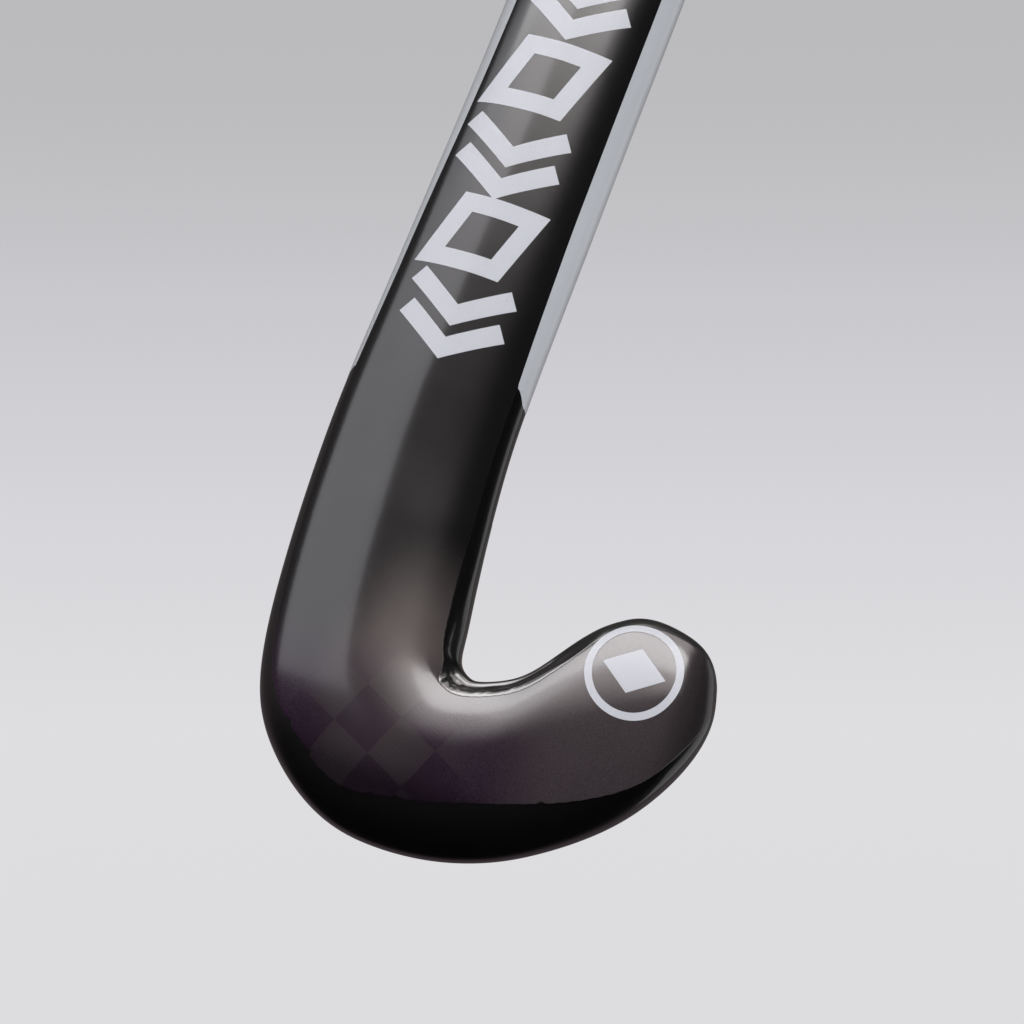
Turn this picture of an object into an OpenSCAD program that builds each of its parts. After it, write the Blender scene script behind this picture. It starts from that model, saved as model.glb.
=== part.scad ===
// Field hockey stick: a composite moulding with a low bow and a tight hook, standing on its sole,
// handle up. The toe points along +X, the rounded back faces -Y and the flat playing face +Y.
// The origin is the centre of the butt's flat end, so the stick reaches down from z = 0.

/* [Stick] */
// Length from the butt to the lowest point of the sole
stick_length = 927; // [890:1:965]
// Size of the hook and the lower shaft against their drawn outline
hook_size = 0.965; // [0.93:0.005:0.985]
// Angle between the head and the handle, which gives the bow
head_tilt = 9; // [6:0.5:9.5]
// Height above the sole where the bow begins
bow_start = 87; // [70:1:110]
// Height above the sole where the bow has run out into the straight handle
bow_end = 405; // [370:5:470]

/* [Head section] */
// Depth of the flat playing side, in front of the widest line
face_depth = 5.8; // [5:0.2:7]
// Depth of the rounded back, behind the widest line, without the crest
back_depth = 12; // [11:0.2:14]
// Height of the soft crest along the middle of the back
crest_height = 2.5; // [1:0.1:3.5]
// Extra depth of the back at the bend of the hook
bend_swell = 2; // [0:0.2:3]
// Radius of the edges beside the playing face
edge_radius = 4.8; // [3:0.2:7]
// Length over which the toe thins out to its rounded tip
toe_round = 12.5; // [8:0.5:18]

/* [Handle section] */
// Half depth of the oval handle
handle_half_depth = 14; // [13:0.5:15]
// Height above the sole where the flat face begins to turn oval
oval_start = 320; // [280:10:360]
// Height above the sole where the section is a full oval
oval_end = 540; // [500:10:600]

/* [Laminate] */
// Wall of the carbon moulding
wall = 2.4; // [1.8:0.1:3]
// Thickness of the web between the two core columns
web_thickness = 1.6; // [1:0.2:3]
// Resin line between the wall and what it holds
bond_line = 0.1; // [0.05:0.05:0.3]
// Thickness of a printed film
film = 0.2; // [0.15:0.05:0.3]
// Thickness of the reinforcing plies at the heel and in the hook
ply = 0.25; // [0.15:0.05:0.4]
// Thickness of the flat ply on the playing face
face_ply_thickness = 0.6; // [0.4:0.1:1]

/* [Grip] */
// Length of the grip tape, from the end cap down
grip_length = 300; // [250:5:380]
// Thickness of the soft underlay
underlay_thickness = 0.8; // [0.5:0.1:1.5]
// Thickness of the wound grip tape
grip_thickness = 1.8; // [1.2:0.1:2.5]
// Width of the finishing tape round the lower end of the grip
finish_width = 20; // [12:1:30]
// Thickness of the finishing tape
finish_thickness = 0.4; // [0.2:0.1:0.8]
// Thickness of the end cap
cap_thickness = 3; // [2:0.5:5]

/* [Graphics] */
// Length of one chevron of the shaft motif, and of the space after it
motif_pitch = 23; // [18:1:28]
// Number of chevrons in the shaft motif
motif_count = 6; // [1:1:7]
// Outer radius of the ring on the toe
emblem_radius = 12.5; // [10:0.5:14]

/* [Hidden] */

// Half widths of the handle and the upper shaft, from one step above the butt downwards
shaft_half_widths = [15.5, 15.5, 15.5, 15.5, 15.6, 16, 17.2, 18.9, 20.6, 21.8];
shaft_foot = 277;
shaft_step = (stick_length - shaft_foot) / (len(shaft_half_widths) - 2);

// Spline points of the lower shaft and the hook, in pairs across the stick: x and height of the
// point on the toe side, then x and height of the point on the heel side
hook_pairs = [
    [23.5, 247, -22.5, 247], [23, 207, -22.5, 207], [23, 167, -24, 167], [22.5, 137.5, -25, 137],
    [22.5, 109.5, -26.5, 109], [24.5, 89.5, -26, 83], [26.5, 70, -24.5, 58.5], [28.5, 58.5, -22, 38],
    [29, 51.5, -17, 21.5], [34, 48, -4.5, 9], [37, 48, 8, 2], [44, 51, 20.5, -0.5],
    [50, 55.5, 38, 0.5], [58, 68, 53, 5], [66, 76, 64.5, 11], [73.5, 79.5, 79.5, 22],
    [85, 78, 90.5, 35], [94.5, 74, 100, 56]
];
pairs = concat(
    [for (i = [0 : len(shaft_half_widths) - 1])
        let (w = shaft_half_widths[i], h = stick_length + (1 - i) * shaft_step) [w, h, -w, h]],
    hook_pairs * hook_size
);
// Past the last pair the outline turns round the toe, so its pairs run back with their ends swapped
function swapped(p) = [p[2], p[3], p[0], p[1]];
last = len(pairs) - 1;
spline = concat(pairs, [swapped(pairs[last]), swapped(pairs[last - 1])]);

// Places along the stick are spline stations: 1 is the butt, and the tip lies half a step past the
// last pair
butt_at = 1;
cap_at = butt_at + cap_thickness / shaft_step;
plug_foot_at = 1.5;
damper_foot_at = 2;
grip_foot_at = cap_at + grip_length / shaft_step;
film_top_at = grip_foot_at + finish_width / shaft_step;
film_foot_at = 13.7;
hook_at = 14;
bend_at = 18.5;
tip_at = last + 0.5;
cavity_end_at = last - 1;
gap_stations = bond_line / shaft_step;
ring_stations = concat(
    [cap_at],
    [for (t = [plug_foot_at : 0.5 : hook_at - 0.5]) t],
    [for (i = [0 : 3 * (last - hook_at)]) hook_at + i / 3],
    [last + 0.2, last + 0.35, last + 0.45]
);
back_film_end_at = last - 0.5;
heel_ply_from = 15;
heel_ply_to = 22;
film_rise = 2 / 3;
face_ply_margin = 2;
side_film_stations = stretch(film_top_at, film_foot_at);
back_film_stations = stretch(film_top_at, back_film_end_at);
heel_ply_stations = stretch(heel_ply_from, heel_ply_to);
hook_ply_stations = stretch(heel_ply_from, heel_ply_to + 2);

// The section has a row of points round the back and a quarter arc at each edge of the face
back_steps = 14;
edge_steps = 4;
side_steps = 3;
head_power = 2.8;
handle_power = 2.1;
crest_softness = 0.1;
least_flat = 0.5;

// Decals: their thickness, the lacquer under them, and the places of the motif and the emblem
decal = 0.2;
decal_gap = 0.03;
motif_width = 29;
motif_foot = 122;
motif_fill = 0.5;
motif_slant = 0.6;
emblem_at = 25;
emblem_share = 0.38;
emblem_stroke = 2.2;
emblem_turns = 36;

// A point on the cubic spline through the pairs
function spline_point(t) =
    let (i = floor(t), u = t - i, v = 1 - u)
    (v * v * v * spline[i - 1] + (3 * u * u * u - 6 * u * u + 4) * spline[i]
        + (3 * v * v * v - 6 * v * v + 4) * spline[i + 1] + u * u * u * spline[i + 2]) / 6;

// How far the bow has carried the widest line towards the playing side at height h
function bow(h) =
    let (run = bow_end - bow_start, k = min(max((bow_end - h) / run, 0), 1))
    tan(head_tilt) * (run * k * k / 2 + max(bow_start - h, 0));

// Share of the handle's oval in the section at height h: 0 in the head, 1 in the handle
function eased(k) = let (v = min(max(k, 0), 1)) v * v * (3 - 2 * v);
function oval(h) = eased((h - oval_start) / (oval_end - oval_start));

// Share of the extra depth at station t: it comes in above the bend and runs out at the tip
function swelling(t) = eased((t - hook_at) / (bend_at - hook_at)) * eased((tip_at - t) / (tip_at - bend_at));
function mixed(a, b, k) = a + (b - a) * k;

// How far a section d from its rounded end has opened, from 0 at the end to 1
function opened(d, reach) = d >= reach ? 1 : sqrt(max(1 - pow(1 - d / reach, 2), 0));
function middle(p) = [p[0] + p[2], p[1] + p[3]] / 2;

// The section at station t: its middle, direction and half length of its chord, the depths of face
// and back, the crest, the edge radius and the power of the back's curve, all taken in by inset.
// Inside the wall it also closes towards the station end.
function section(t, inset = 0, end = tip_at) =
    let (
        p = spline_point(t),
        c = middle(p),
        e = [p[0] - p[2], p[1] - p[3]] / 2,
        open = opened(norm(c - middle(spline_point(end))), toe_round),
        half = (norm(e) - inset) * (end == tip_at ? 1 : open),
        k = oval(c[1])
    )
    [c, e / max(norm(e), 0.001), half,
        (mixed(face_depth, handle_half_depth, k) - inset) * open,
        (mixed(back_depth, handle_half_depth, k) + bend_swell * swelling(t) - inset) * open,
        crest_height * (1 - k) * open,
        min(mixed(edge_radius, half, k), half - least_flat),
        mixed(head_power, handle_power, k)];

// A point of a section at share u of its half chord and depth y behind or before the widest line
function placed(s, u, y) =
    let (q = s[0] + s[1] * u * s[2]) [q[0], bow(q[1]) + y, q[1] - stick_length];
function crest(u) = max(1 - sqrt(u * u + crest_softness * crest_softness), 0) / (1 - crest_softness);

// Points of the back, from the toe side to the heel side
function back_point(s, j) =
    let (a = 180 * j / back_steps, c = cos(a), u = sign(c) * pow(abs(c), 2 / s[7]))
    placed(s, u, -s[4] * pow(max(sin(a), 0), 2 / s[7]) - s[5] * crest(u));

// Points of the face edges: side is 1 at the toe side and -1 at the heel side, j runs to the flat
function edge_point(s, side, j) =
    let (a = 90 * j / edge_steps)
    placed(s, side * (1 - s[6] / max(s[2], 0.001) * (1 - cos(a))), s[3] * sin(a));
function back_row(s, from = 0, to = back_steps) = [for (j = [from : to]) back_point(s, j)];
function edge_row(s, side, from, to, step = 1) = [for (j = [from : step : to]) edge_point(s, side, j)];
function heel_edge(s) = edge_row(s, -1, 1, edge_steps);
function toe_edge(s) = edge_row(s, 1, edge_steps, 1, -1);
function ring(t, inset = 0, end = tip_at) =
    let (s = section(t, inset, end)) concat(back_row(s), heel_edge(s), toe_edge(s));
function cavity_ring(t) = ring(t, wall + bond_line, cavity_end_at);

// The strips of the surface that films and plies cover. A side strip runs from the back half way
// over the edge, and the face strip covers the rest.
function toe_strip(s) = concat(edge_row(s, 1, edge_steps / 2, 1, -1), back_row(s, 0, side_steps));
function heel_strip(s) =
    concat(back_row(s, back_steps - side_steps, back_steps), edge_row(s, -1, 1, edge_steps / 2));
function back_strip(s) = back_row(s, side_steps, back_steps - side_steps);
function face_strip(s) = concat(
    edge_row(s, -1, edge_steps / 2, edge_steps),
    [placed(s, 0, s[3])],
    edge_row(s, 1, edge_steps, edge_steps / 2, -1)
);
function heel_back_strip(s) = back_row(s, back_steps / 2 - 2, back_steps - side_steps);

// Ring stations between two places, with or without the places themselves
function between(from, to) = [for (t = ring_stations) if (t >= from && t <= to) t];
function stretch(from, to) = concat([from], [for (t = ring_stations) if (t > from && t < to) t], [to]);
function tip(end = tip_at) =
    let (c = middle(spline_point(end))) [c[0], bow(c[1]), c[1] - stick_length];
function mean(points) = [for (p = points) 1] * points / len(points);
function flat(rows) = [for (row = rows) for (p = row) p];
function turned(rows) = [for (row = rows) [for (j = [len(row) - 1 : -1 : 0]) row[j]]];

// Triangles of the band between closed rings of n points, the first ring starting at point start
function band(count, n, start) =
    [for (i = [0 : count - 2]) for (j = [0 : n - 1])
        let (a = start + i * n + j, b = start + i * n + (j + 1) % n)
        for (f = [[a, a + n, b], [b, a + n, b + n]]) f];

// Triangles that close a ring of n points to one point
function fan(n, start, apex) = [for (j = [0 : n - 1]) [start + j, apex, start + (j + 1) % n]];
function reversed(faces) = [for (f = faces) [f[2], f[1], f[0]]];

// Triangles of the flat wall between the ring of n points at a and the ring of n points at b
function rim(n, a, b) =
    [for (j = [0 : n - 1])
        let (k = (j + 1) % n)
        for (f = [[a + j, a + k, b + j], [a + k, b + k, b + j]]) f];

// A solid through closed rings. Each end closes to the middle of its ring, or the foot to a tip.
module loft(rings, foot = undef) {
    n = len(rings[0]);
    count = len(rings);
    foot_point = is_undef(foot) ? mean(rings[count - 1]) : foot;
    polyhedron(
        concat(flat(rings), [mean(rings[0]), foot_point]),
        concat(band(count, n, 0), reversed(fan(n, 0, count * n)), fan(n, (count - 1) * n, count * n + 1))
    );
}

// A thin solid on one strip of the surface, given as a grid at its underside and one at its top
module sheet(under, top) {
    m = len(top[0]);
    n = 2 * m;
    count = len(top);
    back = turned(under);
    ends = [for (j = [0 : m - 2])
        let (k = n - 1 - j)
        for (f = [[j, j + 1, k], [j + 1, k - 1, k]]) f];
    polyhedron(
        flat([for (i = [0 : count - 1]) concat(top[i], back[i])]),
        concat(band(count, n, 0), ends, reversed([for (f = ends) [for (v = f) v + (count - 1) * n]]))
    );
}

// A tube round the stick between two stations, from one height over the laminate to another
module sleeve(from, to, low, high) {
    outer = [for (t = stretch(from, to)) ring(t, -high)];
    inner = [for (t = stretch(from, to)) ring(t, -low)];
    n = len(outer[0]);
    count = len(outer);
    shift = count * n;
    polyhedron(
        concat(flat(outer), flat(inner)),
        concat(
            band(count, n, 0),
            reversed(band(count, n, shift)),
            rim(n, 0, shift),
            reversed(rim(n, shift - n, 2 * shift - n))
        )
    );
}

// The carbon moulding, hollow from the butt to the toe
module laminate_shell() color([0.09, 0.08, 0.1]) {
    outer = [for (t = ring_stations) ring(t)];
    hollow = [for (t = between(cap_at, cavity_end_at - 0.1)) ring(t, wall, cavity_end_at)];
    n = len(outer[0]);
    shift = len(outer) * n;
    total = shift + len(hollow) * n;
    polyhedron(
        concat(flat(outer), flat(hollow), [tip(), tip(cavity_end_at)]),
        concat(
            band(len(outer), n, 0),
            reversed(band(len(hollow), n, shift)),
            fan(n, shift - n, total),
            reversed(fan(n, total - n, total + 1)),
            rim(n, 0, shift)
        )
    );
}

// One core column: the wall's curve on one side, a flat beside the web on the other
function column_ring(t, side) =
    let (
        s = section(t, wall + bond_line, cavity_end_at),
        u = side * (web_thickness / 2 + bond_line) / s[2],
        back = placed(s, u, -s[4] - s[5] * crest(u)),
        front = placed(s, u, s[3]),
        half = back_steps / 2
    )
    side > 0
        ? concat(back_row(s, 0, half - 1), [back, front], toe_edge(s))
        : concat([front, back], back_row(s, half + 1, back_steps), heel_edge(s));
module core_toe_side() color([0.93, 0.88, 0.74])
    loft([for (t = between(damper_foot_at, hook_at)) column_ring(t, 1)]);
module core_heel_side() color([0.9, 0.84, 0.7])
    loft([for (t = between(damper_foot_at, hook_at)) column_ring(t, -1)]);

// The web ties the back to the face between the two columns
module centre_web() color([0.16, 0.16, 0.17])
    loft([for (t = between(damper_foot_at, hook_at))
        let (s = section(t, wall + bond_line, cavity_end_at), u = web_thickness / 2 / s[2])
        [placed(s, u, -s[4]), placed(s, -u, -s[4]), placed(s, -u, s[3]), placed(s, u, s[3])]]);

// Hard foam fills the hook, from where the two columns end to the toe
module head_core() color([0.72, 0.6, 0.42])
    loft(
        [for (t = between(hook_at + 0.1, cavity_end_at - 0.1)) cavity_ring(t)],
        tip(cavity_end_at) - [bond_line, 0, 0]
    );
module inner_plug(from, to) loft([for (t = [from, (from + to) / 2, to]) cavity_ring(t)]);
module butt_plug() color([0.62, 0.45, 0.28]) inner_plug(cap_at, plug_foot_at - gap_stations);
module damper_plug() color([0.25, 0.3, 0.62]) inner_plug(plug_foot_at, damper_foot_at - gap_stations);

// The end cap is a flat oval disc, as wide as the grip underlay
module butt_cap() color([0.05, 0.05, 0.06]) {
    s = section(butt_at, -underlay_thickness);
    translate([0, 0, -cap_thickness])
        linear_extrude(cap_thickness)
            polygon([for (a = [0 : 7.5 : 352.5]) [s[2] * cos(a), s[3] * sin(a)]]);
}

// A point of the face ply's outline, in the plane of the face. The ply stays on the flat and is
// rounded towards the toe.
function face_rim(t, side) =
    let (
        s = section(t),
        gap = norm(s[0] - middle(spline_point(cavity_end_at))),
        q = s[0] + side * s[1] * (s[2] - edge_radius - face_ply_margin) * opened(gap, toe_round)
    )
    [q[0], q[1] / cos(head_tilt)];

// Flat plate on the head's playing face, drawn in the plane of the face and tilted with the head
module face_ply() color([0.12, 0.12, 0.13]) {
    stations = stretch(hook_at + 1, cavity_end_at);
    translate([0, bow(0) + face_depth, -stick_length])
        rotate([head_tilt + 90, 0, 0])
            translate([0, 0, -face_ply_thickness])
                linear_extrude(face_ply_thickness)
                    polygon(concat(
                        [for (t = stations) face_rim(t, 1)],
                        [for (i = [len(stations) - 2 : -1 : 0]) face_rim(stations[i], -1)]
                    ));
}

// Spread-tow reinforcement over the back of the heel
module heel_ply() color([0.27, 0.22, 0.28])
    sheet(
        [for (t = heel_ply_stations) heel_back_strip(section(t))],
        [for (t = heel_ply_stations) heel_back_strip(section(t, -ply))]
    );

// Wear ply that wraps the inside of the hook, from the back over the edge to the face
module hook_ply() color([0.06, 0.06, 0.07])
    sheet(
        [for (t = hook_ply_stations) toe_strip(section(t))],
        [for (t = hook_ply_stations) toe_strip(section(t, -ply))]
    );

// The dark film covers the back from the grip to the toe and rises over the heel ply
function film_floor(t) =
    (ply + decal_gap) * min(max(min(t - heel_ply_from, heel_ply_to - t) / film_rise + 1, 0), 1);
module back_film() color([0.2, 0.18, 0.2])
    sheet(
        [for (t = back_film_stations) back_strip(section(t, -film_floor(t)))],
        [for (t = back_film_stations) back_strip(section(t, -film_floor(t) - film))]
    );
module face_film() color([0.16, 0.15, 0.17])
    sheet(
        [for (t = side_film_stations) face_strip(section(t))],
        [for (t = side_film_stations) face_strip(section(t, -film))]
    );
module side_film_toe() color([0.88, 0.89, 0.91])
    sheet(
        [for (t = side_film_stations) toe_strip(section(t))],
        [for (t = side_film_stations) toe_strip(section(t, -film))]
    );
module side_film_heel() color([0.88, 0.89, 0.91])
    sheet(
        [for (t = side_film_stations) heel_strip(section(t))],
        [for (t = side_film_stations) heel_strip(section(t, -film))]
    );

// The station at height h on the shaft, found by halving the stretch between two stations
function station_at(h, low = butt_at, high = hook_at, n = 14) =
    let (t = (low + high) / 2)
    n == 0 ? t
        : middle(spline_point(t))[1] > h ? station_at(h, t, high, n - 1)
        : station_at(h, low, t, n - 1);

// A point of the back at station t and share u of the half chord, raised by lift
function back_at(t, u, lift) =
    let (s = section(t, -lift), v = min(max(u, -1), 1))
    placed(s, v, -s[4] * pow(1 - pow(abs(v), s[7]), 1 / s[7]) - s[5] * crest(v));

// The same point seen flat from the back: how far it is across and up
function seen_at(t, u) = let (s = section(t)) s[0] + s[1] * u * s[2];

// A point of the back that is d across and up from the place at station t and share u
function decal_point(t, u, d, lift) =
    let (
        run = seen_at(t + 0.5, u) - seen_at(t - 0.5, u),
        across = seen_at(t, u + 0.5) - seen_at(t, u - 0.5),
        area = run[0] * across[1] - run[1] * across[0]
    )
    back_at(
        t + (d[0] * across[1] - d[1] * across[0]) / area,
        u + (run[0] * d[1] - run[1] * d[0]) / area,
        lift
    );

// One chevron of the shaft motif, drawn as a bent strip across the back
function chevron_row(t, b, lift) =
    [for (k = [3 : -1 : -3])
        let (a = motif_width / 2 * k / 3)
        decal_point(t, 0, [a, abs(a) * motif_slant - b], lift)];
module chevron(height, length) {
    t = station_at(height);
    sheet(
        [for (k = [0 : 2]) chevron_row(t, length * k / 2, film + decal_gap)],
        [for (k = [0 : 2]) chevron_row(t, length * k / 2, film + decal_gap + decal)]
    );
}
module shaft_motif() color([0.86, 0.87, 0.9])
    for (i = [0 : motif_count - 1])
        chevron(motif_foot + i * motif_pitch, motif_pitch * motif_fill);

// A plain ring round a solid rhombus, on the film at the back of the toe
function emblem_point(r, angle, lift) =
    decal_point(emblem_at, emblem_share, r * [cos(angle), sin(angle)], film + lift);
module toe_emblem() color([0.86, 0.87, 0.9]) {
    inside = emblem_radius - emblem_stroke;
    over = decal_gap + decal;
    loop = [[emblem_radius, decal_gap], [inside, decal_gap], [inside, over], [emblem_radius, over]];
    n = len(loop);
    points = emblem_turns * n;
    polyhedron(
        [for (k = [0 : emblem_turns - 1]) for (q = loop) emblem_point(q[0], 360 * k / emblem_turns, q[1])],
        [for (k = [0 : emblem_turns - 1]) for (j = [0 : n - 1])
            let (a = k * n + j, b = k * n + (j + 1) % n)
            for (f = [[a, (a + n) % points, b], [b, (a + n) % points, (b + n) % points]]) f]
    );
    rhombus = [for (angle = [0 : 45 : 315]) [angle, emblem_radius * (angle % 180 == 0 ? 0.6
        : angle % 180 == 90 ? 0.42 : 0.6 * 0.42 / ((0.6 + 0.42) * cos(45)))]];
    loft([for (lift = [decal_gap, over]) [for (q = rhombus) emblem_point(q[1], q[0], lift)]]);
}

module grip_underlay() color([0.75, 0.75, 0.72])
    sleeve(cap_at, grip_foot_at, 0, underlay_thickness);
module grip_tape() color([0.08, 0.08, 0.09])
    sleeve(cap_at, grip_foot_at, underlay_thickness, underlay_thickness + grip_thickness);
module finish_tape() color([0.12, 0.12, 0.13])
    sleeve(grip_foot_at + gap_stations, film_top_at - gap_stations, 0, finish_thickness);

laminate_shell();
core_toe_side();
core_heel_side();
centre_web();
head_core();
damper_plug();
butt_plug();
butt_cap();
face_ply();
heel_ply();
hook_ply();
back_film();
face_film();
side_film_toe();
side_film_heel();
shaft_motif();
toe_emblem();
grip_underlay();
grip_tape();
finish_tape();
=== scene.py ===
"""The looks of a field hockey stick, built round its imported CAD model.

The stick hangs from the origin, which is the middle of its butt. The toe points along +X, the rounded
back faces -Y and the flat playing face +Y. The form below repeats the CAD's own curves in millimetres,
so every film, ply, decal and tape follows the moulding exactly.
"""

import logging
import math
from dataclasses import dataclass, field
from enum import Enum
from typing import Callable, Sequence

import bmesh
import bpy
import numpy as np
from mathutils import Matrix, Vector


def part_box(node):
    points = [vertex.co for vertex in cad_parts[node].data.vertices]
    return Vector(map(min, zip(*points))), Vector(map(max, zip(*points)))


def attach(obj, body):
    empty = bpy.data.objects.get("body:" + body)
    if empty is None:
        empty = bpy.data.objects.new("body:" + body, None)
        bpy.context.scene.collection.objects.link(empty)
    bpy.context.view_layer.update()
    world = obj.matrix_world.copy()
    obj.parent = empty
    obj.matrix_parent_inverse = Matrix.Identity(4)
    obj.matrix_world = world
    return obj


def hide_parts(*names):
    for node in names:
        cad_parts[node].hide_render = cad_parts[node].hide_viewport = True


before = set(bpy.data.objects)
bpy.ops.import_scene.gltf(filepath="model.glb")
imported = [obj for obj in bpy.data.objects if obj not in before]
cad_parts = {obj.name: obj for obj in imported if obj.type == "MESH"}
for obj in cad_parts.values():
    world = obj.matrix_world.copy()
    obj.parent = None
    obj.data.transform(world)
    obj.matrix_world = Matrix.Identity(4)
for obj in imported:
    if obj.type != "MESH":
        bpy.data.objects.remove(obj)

logging.basicConfig(level=logging.INFO, format="%(levelname)s %(message)s")
log = logging.getLogger("stick")

MM = 0.001
Array = np.ndarray
Colour = tuple[float, float, float]


class Side(Enum):
    """The two long sides of the stick, as the sign of X on the shaft."""

    TOE = 1
    HEEL = -1


def smooth(value: Array | float, low: float, high: float) -> Array:
    """Rise smoothly from 0 to 1 while value goes from low to high."""
    k = np.clip((np.asarray(value, float) - low) / (high - low), 0, 1)
    return k * k * (3 - 2 * k)


def bump(value: Array | float, at: float, reach: float) -> Array:
    """Return a soft hump of height 1 round the place at."""
    return np.exp(-(((np.asarray(value, float) - at) / reach) ** 2))


# --- The form of the stick ---


@dataclass
class Form:
    """The surface of the moulding, in millimetres, by station along it and place across it.

    Station 1 is the butt and station tip the end of the toe. A share of the half chord runs from -1 at
    the heel side to 1 at the toe side. A girth runs once round the section: 0 to 1 over the back from
    the toe side to the heel side, then over the heel edge, the flat face and the toe edge to 2.
    """

    length: float = 927.0
    tilt: float = 9.0
    hook_size: float = 0.965
    shaft_foot: float = 277.0
    bow_start: float = 87.0
    bow_end: float = 405.0
    face_depth: float = 5.8
    back_depth: float = 12.0
    crest_height: float = 2.5
    edge_radius: float = 4.8
    toe_round: float = 12.5
    handle_half_depth: float = 14.0
    oval_start: float = 320.0
    oval_end: float = 540.0
    head_power: float = 2.8
    handle_power: float = 2.1
    crest_softness: float = 0.1
    bend_swell: float = 2.0
    hook_at: float = 14.0
    bend_at: float = 18.5
    crease_depth: float = 2.2
    crease_share: float = 0.68
    crease_foot: float = 0.84
    crease_run: tuple[float, float, float, float] = (17.6, 18.8, 22.4, 23.8)
    edge_girth: float = 0.1
    half_widths: tuple[float, ...] = (15.5, 15.5, 15.5, 15.5, 15.6, 16, 17.2, 18.9, 20.6, 21.8)
    hook: tuple[tuple[float, float, float, float], ...] = (
        (23.5, 247, -22.5, 247), (23, 207, -22.5, 207), (23, 167, -24, 167),
        (22.5, 137.5, -25, 137), (22.5, 109.5, -26.5, 109), (24.5, 89.5, -26, 83),
        (26.5, 70, -24.5, 58.5), (28.5, 58.5, -22, 38), (29, 51.5, -17, 21.5),
        (34, 48, -4.5, 9), (37, 48, 8, 2), (44, 51, 20.5, -0.5),
        (50, 55.5, 38, 0.5), (58, 68, 53, 5), (66, 76, 64.5, 11),
        (73.5, 79.5, 79.5, 22), (85, 78, 90.5, 35), (94.5, 74, 100, 56),
    )
    pairs: Array = field(init=False)
    tip: float = field(init=False)
    step: float = field(init=False)

    def __post_init__(self) -> None:
        """Lay out the spline points from above the butt to round the toe."""
        self.step = (self.length - self.shaft_foot) / (len(self.half_widths) - 2)
        rows = [
            [w, self.length + (1 - i) * self.step, -w, self.length + (1 - i) * self.step]
            for i, w in enumerate(self.half_widths)
        ]
        rows += [[v * self.hook_size for v in row] for row in self.hook]
        self.tip = len(rows) - 0.5
        rows += [[*rows[-1 - k][2:], *rows[-1 - k][:2]] for k in (0, 2)]
        self.pairs = np.array(rows, float)

    def spline(self, t: Array) -> Array:
        """Return inner and outer outline points at stations t, as x, height, x, height.

        Args:
            t: stations along the stick.

        Returns:
            A row of four numbers, in millimetres, for each station.
        """
        i = np.clip(np.floor(t).astype(int), 1, len(self.pairs) - 3)
        u = (t - i)[..., None]
        v = 1 - u
        p = self.pairs
        return (
            v**3 * p[i - 1] + (3 * u**3 - 6 * u * u + 4) * p[i]
            + (3 * v**3 - 6 * v * v + 4) * p[i + 1] + u**3 * p[i + 2]
        ) / 6

    def bow(self, height: Array) -> Array:
        """Return how far the bow has carried the widest line towards the face.

        Args:
            height: heights over the sole, in millimetres.

        Returns:
            The distances in millimetres.
        """
        run = self.bow_end - self.bow_start
        k = np.clip((self.bow_end - height) / run, 0, 1)
        slope = math.tan(math.radians(self.tilt))
        return slope * (run * k * k / 2 + np.maximum(self.bow_start - height, 0))

    def section(self, t: Array, lift: Array | float = 0.0) -> dict[str, Array]:
        """Return the measures of the sections at stations t, grown by lift.

        Args:
            t: stations along the stick.
            lift: height over the moulding, in millimetres.

        Returns:
            The measures by name, in millimetres.
        """
        p = self.spline(t)
        middle = (p[..., :2] + p[..., 2:]) / 2
        chord = (p[..., :2] - p[..., 2:]) / 2
        half = np.linalg.norm(chord, axis=-1)
        end = self.spline(np.array(self.tip))
        gap = np.linalg.norm(middle - (end[:2] + end[2:]) / 2, axis=-1)
        open_ = np.sqrt(np.maximum(1 - (1 - np.minimum(gap / self.toe_round, 1)) ** 2, 0))
        k = smooth(middle[..., 1], self.oval_start, self.oval_end)
        swell = self.bend_swell * smooth(t, self.hook_at, self.bend_at)
        swell = swell * smooth(self.tip - t, 0, self.tip - self.bend_at)
        back = self.back_depth + (self.handle_half_depth - self.back_depth) * k + swell
        return {
            "middle": middle,
            "across": chord / np.maximum(half, 1e-3)[..., None],
            "half": half + lift,
            "face": (self.face_depth + (self.handle_half_depth - self.face_depth) * k + lift) * open_,
            "back": (back + lift) * open_,
            "crest": self.crest_height * (1 - k) * open_,
            "edge": np.minimum(self.edge_radius + (half - self.edge_radius) * k, half),
            "power": self.head_power + (self.handle_power - self.head_power) * k,
        }

    def place(self, s: dict[str, Array], u: Array, y: Array) -> Array:
        """Return the points at share u and depth y of sections s, in metres."""
        q = s["middle"] + s["across"] * (u * s["half"])[..., None]
        return np.stack([q[..., 0], self.bow(q[..., 1]) + y, q[..., 1] - self.length], -1) * MM

    def back(self, t: Array, u: Array, lift: Array | float = 0.0) -> Array:
        """Return points of the back at stations t and shares u, raised by lift.

        Args:
            t: stations along the stick.
            u: shares of the half chord.
            lift: height over the moulding, in millimetres.

        Returns:
            The points in metres.
        """
        s = self.section(t, lift)
        a = np.minimum(np.abs(u), 1)
        ridge = np.maximum(1 - np.sqrt(a * a + self.crest_softness**2), 0) / (1 - self.crest_softness)
        y = -s["back"] * (1 - a ** s["power"]) ** (1 / s["power"]) - s["crest"] * ridge
        first, full, last, end = self.crease_run
        fall = smooth(u, self.crease_share, self.crease_foot) * (1 - smooth(u, self.crease_foot, 1.0))
        reach = smooth(t, first, full) * (1 - smooth(t, last, end))
        return self.place(s, u, y + self.crease_depth * fall * reach)

    def girth_of(self, t: Array, u: Array) -> Array:
        """Return the girth of the point of the back at share u."""
        power = self.section(t)["power"]
        return np.arccos(np.sign(u) * np.minimum(np.abs(u), 1) ** (power / 2)) / math.pi

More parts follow.
